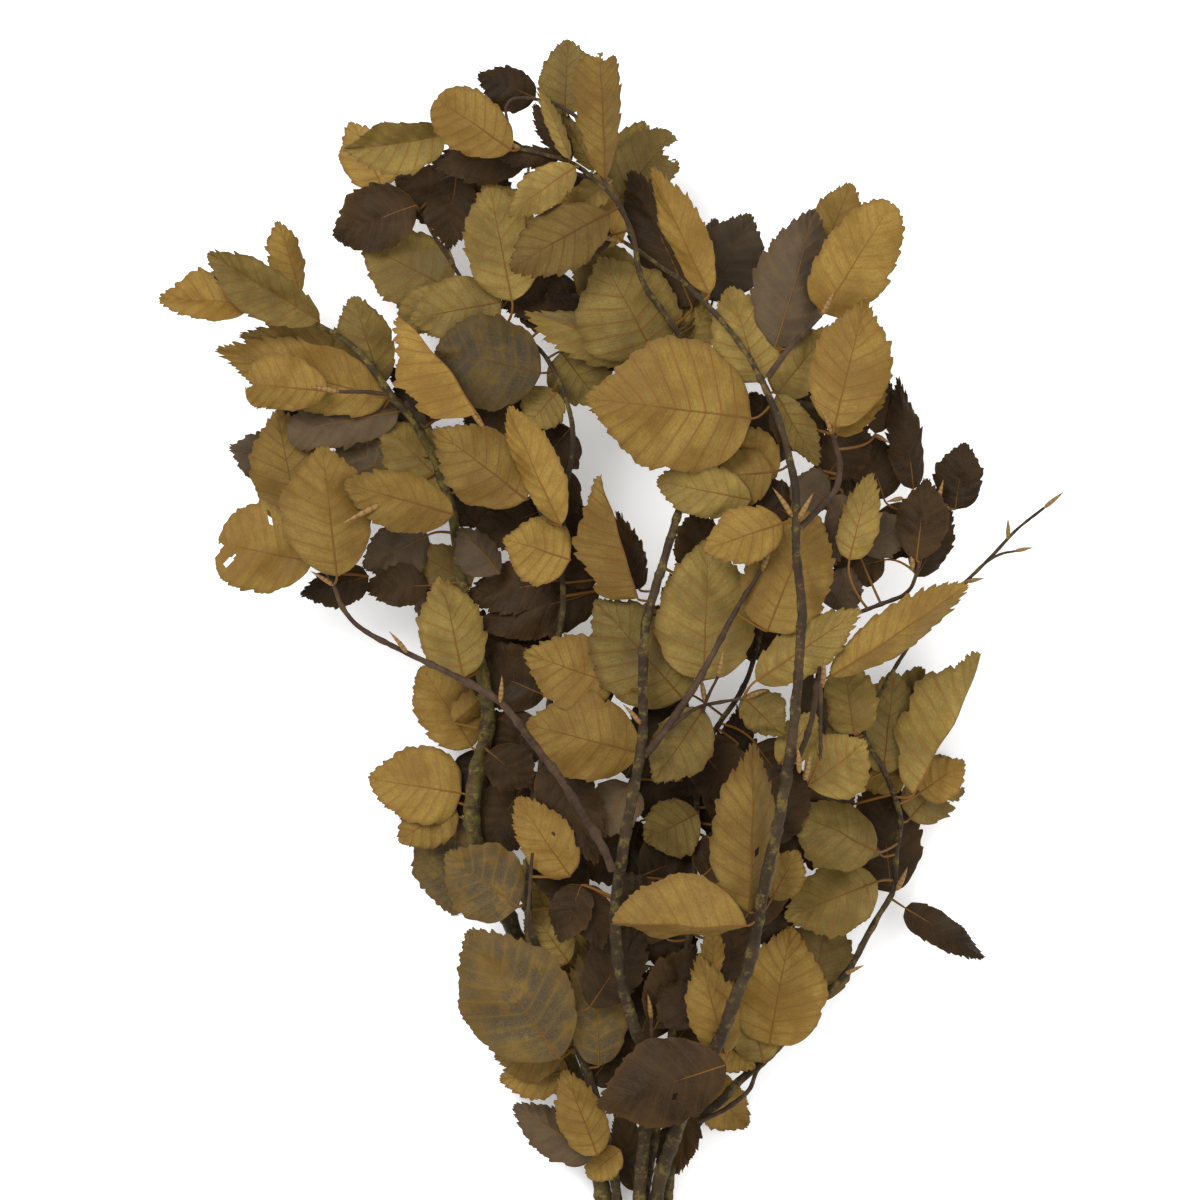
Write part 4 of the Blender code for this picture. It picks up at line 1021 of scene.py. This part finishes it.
class Recipe:
    """Short ways to add shader nodes to one material."""

    def __init__(self, name):
        self.material = bpy.data.materials.new(name)
        self.material.use_nodes = True
        self.tree = self.material.node_tree
        self.shader = self.tree.nodes["Principled BSDF"]

    def node(self, kind, inputs, output=0, **settings):
        """Add a node, fill or link its inputs by index or name, and return one output."""
        node = self.tree.nodes.new(kind)
        for key, value in settings.items():
            setattr(node, key, value)
        for key, value in inputs.items():
            self.feed(node.inputs[key], value)
        return node.outputs[output]

    def feed(self, socket, value):
        """Link a socket to an output, or set it."""
        if isinstance(value, bpy.types.NodeSocket):
            self.tree.links.new(value, socket)
        else:
            socket.default_value = value

    def math(self, operation, first, second=0.0):
        """One arithmetic step."""
        return self.node("ShaderNodeMath", {0: first, 1: second}, operation=operation)

    def attribute(self, name):
        """Three numbers stored on the surface."""
        vector = self.node("ShaderNodeAttribute", {}, "Vector", attribute_name=name)
        apart = self.tree.nodes.new("ShaderNodeSeparateXYZ")
        self.feed(apart.inputs[0], vector)
        return apart.outputs[0], apart.outputs[1], apart.outputs[2]

    def vector(self, x, y, z):
        """Three numbers put together."""
        return self.node("ShaderNodeCombineXYZ", {0: x, 1: y, 2: z})

    def place(self):
        """Where on the object the surface is, in metres."""
        return self.node("ShaderNodeTexCoord", {}, "Object")

    def shifted(self, vector, by):
        """The vector moved by a number along a slanting line, so that each leaf differs."""
        offset = self.vector(self.math("MULTIPLY", by, 0.7), self.math("MULTIPLY", by, 1.3), by)
        return self.node("ShaderNodeVectorMath", {0: vector, 1: offset}, operation="ADD")

    def noise(self, vector, scale, detail=3.0, roughness=0.55):
        """Cloudy noise from 0 to 1."""
        return self.node("ShaderNodeTexNoise", {"Vector": vector, "Scale": scale, "Detail": detail,
                                                "Roughness": roughness})

    def band(self, value, low, high, bottom=0.0, top=1.0):
        """A smooth step from bottom at low to top at high."""
        return self.node("ShaderNodeMapRange", {0: value, 1: low, 2: high, 3: bottom, 4: top},
                         interpolation_type="SMOOTHSTEP")

    def mix(self, factor, first, second, blend="MIX"):
        """Two colours mixed; each is three numbers or an output."""
        first, second = [part + (1.0,) if isinstance(part, tuple) else part for part in (first, second)]
        return self.node("ShaderNodeMix", {0: factor, 6: first, 7: second}, 2, data_type="RGBA",
                         blend_type=blend)

    def bump(self, height, strength, distance):
        """Fine relief."""
        return self.node("ShaderNodeBump", {"Strength": strength, "Distance": distance, "Height": height})

    def finish(self, colour, roughness, normal, specular):
        """Feed the shader and give back the material."""
        self.feed(self.shader.inputs["Base Color"], colour)
        self.feed(self.shader.inputs["Roughness"], roughness)
        self.feed(self.shader.inputs["Normal"], normal)
        self.shader.inputs["Specular IOR Level"].default_value = specular
        return self.material


def colour(name):
    """A colour of the palette."""
    return tuple(getattr(bpy.context.scene.beech_colours, name))


# A leaf's colour is multiplied by the darkest shade, plus the span times its own lightness from 0 to 1,
# which is partly painted shading: leaves lying in shade are darker, leaves in full light lighter.
DARKEST_SHADE = 0.52
SHADE_SPAN = 0.72

# What shows on the visible face and on the back, then the share of blue grey bloom.
LEAF_TONES = {
    "ochre": ("ochre", "umber", 0.1),
    "olive": ("olive", "umber", 0.3),
    "umber": ("umber", "ochre", 0.1),
    "grey": ("grey", "umber", 0.3),
    "mottled": ("mottled", "umber", 0.95),
}

# The colour and share of the veins, where they aren't the full vein colour.
FACE_VEINS = {"umber": ("vein_pale", 0.1), "grey": ("vein_pale", 0.3), "mottled": ("ochre", 0.55)}


def leaf_finish(tone):
    """Dry leaf: cloudy ground, brown scorch on the margin, specks, bloom, side veins and their net.

    Side veins lie where the vein number is whole; the net between them is a cell pattern in vein
    number and place across, so it follows the blade. The darker streaks run along the veins.
    """
    label = "beech " + tone
    if label in bpy.data.materials:
        return bpy.data.materials[label]
    front, back, bloom = LEAF_TONES[tone]
    r = Recipe(label)
    across, phase, side = r.attribute("marks")
    own, other, third = r.attribute("tint")
    place = r.shifted(r.place(), own)
    cloud = r.noise(place, 38.0, 4.0, 0.6)
    patch = r.noise(r.shifted(place, other), 90.0, 5.0, 0.65)
    grain = r.noise(place, 900.0, 3.0, 0.7)
    grit = r.noise(place, 2600.0, 2.0, 0.7)
    reach = r.math("ABSOLUTE", across)

    wobbled = r.math("ADD", phase, r.math("MULTIPLY", r.math("SUBTRACT", patch, 0.5), 0.09))
    split = r.math("FRACT", r.math("ADD", wobbled, 0.5))
    away = r.math("ABSOLUTE", r.math("SUBTRACT", split, 0.5))
    width = r.band(reach, 0.0, 1.0, 0.042, 0.02)
    lateral = r.band(r.math("DIVIDE", away, width), 0.45, 1.25, 1.0, 0.0)
    lateral = r.math("MULTIPLY", lateral, r.band(phase, 0.4, 0.9))
    faint = r.band(r.math("FRACT", r.math("MULTIPLY", own, 7.3)), 0.0, 1.0, 0.3, 1.0)
    lateral = r.math("MULTIPLY", lateral, faint)
    halo = r.band(away, 0.02, 0.26, 1.0, 0.0)
    cells = r.vector(r.math("MULTIPLY", across, 8.5), r.math("MULTIPLY", wobbled, 2.4), own)
    net = r.node("ShaderNodeTexVoronoi", {"Vector": cells, "Scale": 1.0}, "Distance",
                 feature="DISTANCE_TO_EDGE")
    net = r.band(net, 0.0, 0.09, 1.0, 0.0)
    stalk = r.band(phase, -0.6, -0.3, 1.0, 0.0)

    spots = r.node("ShaderNodeTexVoronoi", {"Vector": place, "Scale": 210.0}, "Distance")
    spots = r.math("MULTIPLY", r.band(spots, 0.05, 0.16, 1.0, 0.0), r.band(patch, 0.5, 0.62))
    edge = r.math("MULTIPLY", r.band(reach, 0.8, 1.02), r.band(cloud, 0.38, 0.62, 0.15, 1.0))
    streaks = r.vector(r.math("MULTIPLY", across, 1.6), r.math("MULTIPLY", wobbled, 8.0), own)
    streaks = r.noise(streaks, 1.3, 4.0, 0.7)
    dusty = r.math("MULTIPLY", r.band(grit, 0.38, 0.56), r.band(patch, 0.34, 0.52))
    dusty = r.math("MULTIPLY", dusty, r.band(r.noise(place, 24.0, 2.0), 0.3, 0.5))
    dusty = r.math("MULTIPLY", dusty, r.band(reach, 0.55, 1.0, bloom, 0.45 * bloom))

    def face_colour(name, dust):
        """One face: the ground, its scorched grain and streaks, bloom, then veins over it."""
        vein, vein_share = FACE_VEINS.get(name, ("vein", 1.0))
        ground = r.mix(r.band(cloud, 0.34, 0.66), colour(name), colour(name + "_light"))
        ground = r.mix(r.band(grain, 0.3, 0.75, 0.0, 0.3), ground, colour("scorch"))
        ground = r.mix(r.band(streaks, 0.42, 0.7, 0.0, 0.34), ground, colour("scorch"))
        ground = r.mix(dust, ground, colour("blotch"))
        for pattern, share in ((net, 0.24), (halo, 0.3), (lateral, 0.85)):
            ground = r.mix(r.math("MULTIPLY", pattern, share * vein_share), ground, colour(vein))
        return r.mix(r.math("MULTIPLY", edge, 0.5), ground, colour("scorch"))

    shown = face_colour(front, dusty)
    hidden = face_colour(back, 0.0)
    tinted = r.mix(r.band(side, 0.4, 0.6), hidden, shown)
    tinted = r.mix(r.math("MULTIPLY", spots, 0.55), tinted, colour("scorch"))
    tinted = r.mix(r.math("MULTIPLY", stalk, 0.92), tinted, colour("vein"))
    # Painted shading: the whole leaf is multiplied by its lightness, which where set stands partly for the
    # light or shade the leaf lies in.
    shade = r.math("MULTIPLY_ADD", third, SHADE_SPAN)
    r.feed(shade.node.inputs[2], DARKEST_SHADE)
    tinted = r.mix(1.0, tinted, r.vector(shade, shade, shade), "MULTIPLY")

    relief = r.math("MULTIPLY", lateral, 0.8)
    for pattern, height in ((net, 0.3), (grain, 0.4), (streaks, 0.8)):
        relief = r.math("ADD", relief, r.math("MULTIPLY", pattern, height))
    smoothest, roughest, specular = (0.42, 0.58, 0.08) if front == "umber" else (0.52, 0.7, 0.15)
    rough = r.band(cloud, 0.3, 0.7, smoothest, roughest)
    return r.finish(tinted, rough, r.bump(relief, 0.5, 0.0003), specular)


def wood_finish(name):
    """Bark: bands of film over a darker ground, pale pores, lichen or moss in patches, pale cut ends."""
    label = "beech " + name
    if label in bpy.data.materials:
        return bpy.data.materials[label]
    r = Recipe(label)
    cut, along, _ = r.attribute("marks")
    own, _, _ = r.attribute("tint")
    place = r.shifted(r.place(), own)
    cloud = r.noise(place, 60.0, 4.0, 0.6)
    grain = r.noise(place, 700.0, 4.0, 0.7)
    ring = r.noise(r.vector(r.math("MULTIPLY", along, 0.55), own, 0.0), 1.0, 3.0)
    dark, light = ("young", "young_light") if name == "young" else ("bark", "bark_light")
    ground = r.mix(r.band(cloud, 0.35, 0.7), colour(dark), colour(light))
    ground = r.mix(r.band(ring, 0.5, 0.75, 0.0, 0.6), ground, colour(light))
    pores = r.node("ShaderNodeTexVoronoi", {"Vector": place, "Scale": 420.0}, "Distance")
    pores = r.math("MULTIPLY", r.band(pores, 0.12, 0.26, 1.0, 0.0), r.band(grain, 0.4, 0.6))
    ground = r.mix(r.math("MULTIPLY", pores, 0.75), ground, colour("bark_light"))
    crust = r.band(r.noise(place, 120.0, 6.0, 0.7), 0.51, 0.6)
    crust = r.math("MULTIPLY", crust, r.band(grain, 0.3, 0.55))
    share = {"bark": 0.6, "moss": 0.85, "young": 0.1}[name]
    ground = r.mix(r.math("MULTIPLY", crust, share), ground, colour("lichen"))
    if name == "moss":
        tuft = r.band(r.noise(place, 150.0, 5.0, 0.7), 0.42, 0.6)
        ground = r.mix(r.math("MULTIPLY", tuft, 0.7), ground, colour("moss"))
    ground = r.mix(r.band(grain, 0.55, 0.8, 0.0, 0.5), ground, colour("scorch"))
    rings = r.noise(r.vector(0.0, 0.0, r.math("MULTIPLY", cut, 9.0)), 3.0)
    pale = r.mix(rings, colour("cut_wood"), colour("bark_light"))
    ground = r.mix(r.band(cut, 0.3, 0.6), ground, pale)
    relief = r.math("ADD", r.math("MULTIPLY", grain, 0.7), r.math("MULTIPLY", crust, 0.6))
    rough = r.band(cloud, 0.3, 0.7, 0.55, 0.8)
    return r.finish(ground, rough, r.bump(relief, 0.6, 0.0005), 0.12)


def bud_finish():
    """Bud scales: golden brown, darker towards each scale's edge and at the tip."""
    r = Recipe("beech bud")
    along, _, _ = r.attribute("marks")
    place = r.place()
    grain = r.noise(place, 1100.0, 3.0)
    scale = r.math("FRACT", r.math("ADD", r.math("MULTIPLY", along, 6.0), r.math("MULTIPLY", grain, 0.5)))
    ground = r.mix(r.band(scale, 0.45, 0.95), colour("bud"), colour("bud_tip"))
    ground = r.mix(r.band(grain, 0.4, 0.75, 0.0, 0.6), ground, colour("ochre_light"))
    return r.finish(ground, 0.5, r.bump(scale, 0.4, 0.0003), 0.4)


def floor_finish():
    """Pale matt floor with the faintest cloud in it."""
    r = Recipe("studio floor")
    cloud = r.noise(r.place(), 2.0, 2.0)
    pale = colour("floor")
    ground = r.mix(cloud, pale, tuple(0.99 * part for part in pale))
    grain = r.noise(r.place(), 400.0)
    r.feed(r.shader.inputs["Emission Color"], ground)
    r.shader.inputs["Emission Strength"].default_value = FLOOR_GLOW
    return r.finish(ground, r.band(cloud, 0.3, 0.7, 0.8, 0.9), r.bump(grain, 0.02, 0.0002), 0.1)


LEAF_SLOTS = {tone: "leaf_" + tone for tone in LEAF_TONES}
WOOD_SLOTS = {"bark": "bark", "moss": "mossy_bark", "young": "young_twig"}


# ---------------------------------------------------------------- operators

def grow_wood(schedule):
    """Replace each of the schedule's branches or twigs with fine bark."""
    sizes = sizes_mm()
    for wood in schedule:
        shells = [bark_shell(wood, sizes)]
        add_piece(wood.name + "_bark", shells, wood_finish(wood.finish), WOOD_SLOTS[wood.finish], wood.name)


class BEECH_OT_branches(bpy.types.Operator):
    """Give the cut branches their bark, nodes and cut ends"""

    bl_idname = "beech.branches"
    bl_label = "Branches"

    def execute(self, context):
        grow_wood([wood for wood in WOOD if wood.name.startswith("branch")])
        return {"FINISHED"}


class BEECH_OT_twigs(bpy.types.Operator):
    """Give the side twigs their bark and nodes"""

    bl_idname = "beech.twigs"
    bl_label = "Twigs"

    def execute(self, context):
        grow_wood([wood for wood in WOOD if wood.name.startswith("twig")])
        return {"FINISHED"}


class BEECH_OT_shoots(bpy.types.Operator):
    """Add the thin shoots that are too slight for the frame"""

    bl_idname = "beech.shoots"
    bl_label = "Shoots"

    def execute(self, context):
        sizes = sizes_mm()
        shells = [bark_shell(wood, sizes) for wood in SHOOTS]
        add_piece("thin_shoots", shells, wood_finish("young"), WOOD_SLOTS["young"])
        return {"FINISHED"}


class BEECH_OT_leaves(bpy.types.Operator):
    """Replace each of the frame's leaves with a veined, toothed blade on its stalk"""

    bl_idname = "beech.leaves"
    bl_label = "Leaves"

    def execute(self, context):
        sizes = sizes_mm()
        centres, radii = wood_lines(WOOD)
        for name, leaf in LEAVES.items():
            base = np.array([*leaf.base, leaf.height + lift_of(name, leaf)], dtype=float)
            shells = leaf_shells(leaf, base, centres, radii, sizes)
            add_piece(name + "_blade", shells, leaf_finish(leaf.tone), LEAF_SLOTS[leaf.tone], name)
        return {"FINISHED"}


class BEECH_OT_sprays(bpy.types.Operator):
    """Add the smaller and half-hidden leaves, each at a height where it is free of the others"""

    bl_idname = "beech.sprays"
    bl_label = "Sprays"

    def execute(self, context):
        sizes = sizes_mm()
        centres, radii = wood_lines(WOOD + SHOOTS)
        placed = [node_tree(name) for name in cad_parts]
        for region, leaves in SPRAYS.items():
            groups = {}
            for leaf in leaves:
                base = free_base(leaf, placed)
                groups.setdefault(leaf.tone, []).extend(leaf_shells(leaf, base, centres, radii, sizes))
            for tone, shells in groups.items():
                add_piece(f"{region}_{tone}_leaves", shells, leaf_finish(tone), LEAF_SLOTS[tone])
        return {"FINISHED"}


class BEECH_OT_buds(bpy.types.Operator):
    """Add the pointed winter buds"""

    bl_idname = "beech.buds"
    bl_label = "Buds"

    def execute(self, context):
        add_piece("winter_buds", [bud_shell(bud) for bud in BUDS], bud_finish(), WOOD_SLOTS["young"])
        return {"FINISHED"}


# Studio, in metres
VIEW_CENTRE = (-0.0014, 0.0588, 0.09)
VIEW_WIDTH = 0.66
LENS_MM = 200.0
SENSOR_MM = 36.0
FLOOR_HALF = 8.0
FLOOR_GAP = 0.0004
SOFT_LIGHTS = (
    ("key", (-1.1, 1.3, 2.6), 1.6, 72.0),
    ("fill", (1.5, -0.5, 2.4), 2.2, 26.0),
)
WORLD_STRENGTH = 0.95
FLOOR_GLOW = 0.2


def aim(thing, place, target):
    """Put a light or camera at a place and turn its -Z to a target."""
    thing.location = place
    thing.rotation_euler = (Vector(target) - Vector(place)).to_track_quat("-Z", "Y").to_euler()


class BEECH_OT_stage(bpy.types.Operator):
    """Make the floor, the soft lights and the camera that looks straight down"""

    bl_idname = "beech.stage"
    bl_label = "Stage"

    def execute(self, context):
        scene = context.scene
        corners = FLOOR_HALF * np.array([(-1, -1, 0), (1, -1, 0), (1, 1, 0), (-1, 1, 0)], dtype=float)
        corners[:, 2] = CAD_BOX[0][2] - FLOOR_GAP
        mesh = bpy.data.meshes.new("floor")
        mesh.from_pydata(corners.tolist(), [], [(0, 1, 2, 3)])
        mesh.materials.append(floor_finish())
        floor = bpy.data.objects.new("floor", mesh)
        scene.collection.objects.link(floor)
        for name, place, size, power in SOFT_LIGHTS:
            lamp = bpy.data.lights.new(name, "AREA")
            lamp.shape = "DISK"
            lamp.size = size
            lamp.energy = power
            light = bpy.data.objects.new(name, lamp)
            light.visible_camera = False
            scene.collection.objects.link(light)
            aim(light, place, VIEW_CENTRE)
        world = bpy.data.worlds.new("studio")
        world.use_nodes = True
        background = world.node_tree.nodes["Background"]
        background.inputs["Color"].default_value = (1.0, 1.0, 1.0, 1.0)
        background.inputs["Strength"].default_value = WORLD_STRENGTH
        scene.world = world
        lens = bpy.data.cameras.new("camera")
        lens.lens = LENS_MM
        lens.sensor_width = SENSOR_MM
        lens.clip_end = 60.0
        camera = bpy.data.objects.new("camera", lens)
        scene.collection.objects.link(camera)
        above = VIEW_WIDTH * LENS_MM / SENSOR_MM
        camera.location = (VIEW_CENTRE[0], VIEW_CENTRE[1], VIEW_CENTRE[2] + above)
        scene.camera = camera
        scene.view_settings.view_transform = "Standard"
        return {"FINISHED"}


class BEECH_PT_panel(bpy.types.Panel):
    """Sizes, colours and the steps that build the bunch"""

    bl_label = "Beech bunch"
    bl_idname = "BEECH_PT_panel"
    bl_space_type = "VIEW_3D"
    bl_region_type = "UI"
    bl_category = "Beech bunch"

    def draw(self, context):
        layout = self.layout
        for group in (context.scene.beech_sizes, context.scene.beech_colours):
            for key in type(group).__annotations__:
                layout.prop(group, key)
        for operator in OPERATORS:
            layout.operator(operator.bl_idname)


OPERATORS = (
    BEECH_OT_branches, BEECH_OT_twigs, BEECH_OT_shoots, BEECH_OT_leaves, BEECH_OT_sprays, BEECH_OT_buds,
    BEECH_OT_stage)
CLASSES = (BeechSizes, BeechColours) + OPERATORS + (BEECH_PT_panel,)


def register():
    """Add the classes and the scene's two groups of settings."""
    for entry in CLASSES:
        bpy.utils.register_class(entry)
    bpy.types.Scene.beech_sizes = PointerProperty(type=BeechSizes)
    bpy.types.Scene.beech_colours = PointerProperty(type=BeechColours)


def unregister():
    """Take them away again."""
    del bpy.types.Scene.beech_colours
    del bpy.types.Scene.beech_sizes
    for entry in reversed(CLASSES):
        bpy.utils.unregister_class(entry)


def main():
    register()
    bpy.ops.beech.branches()
    bpy.ops.beech.twigs()
    bpy.ops.beech.shoots()
    bpy.ops.beech.leaves()
    bpy.ops.beech.sprays()
    bpy.ops.beech.buds()
    bpy.ops.beech.stage()


if __name__ == "__main__":
    main()
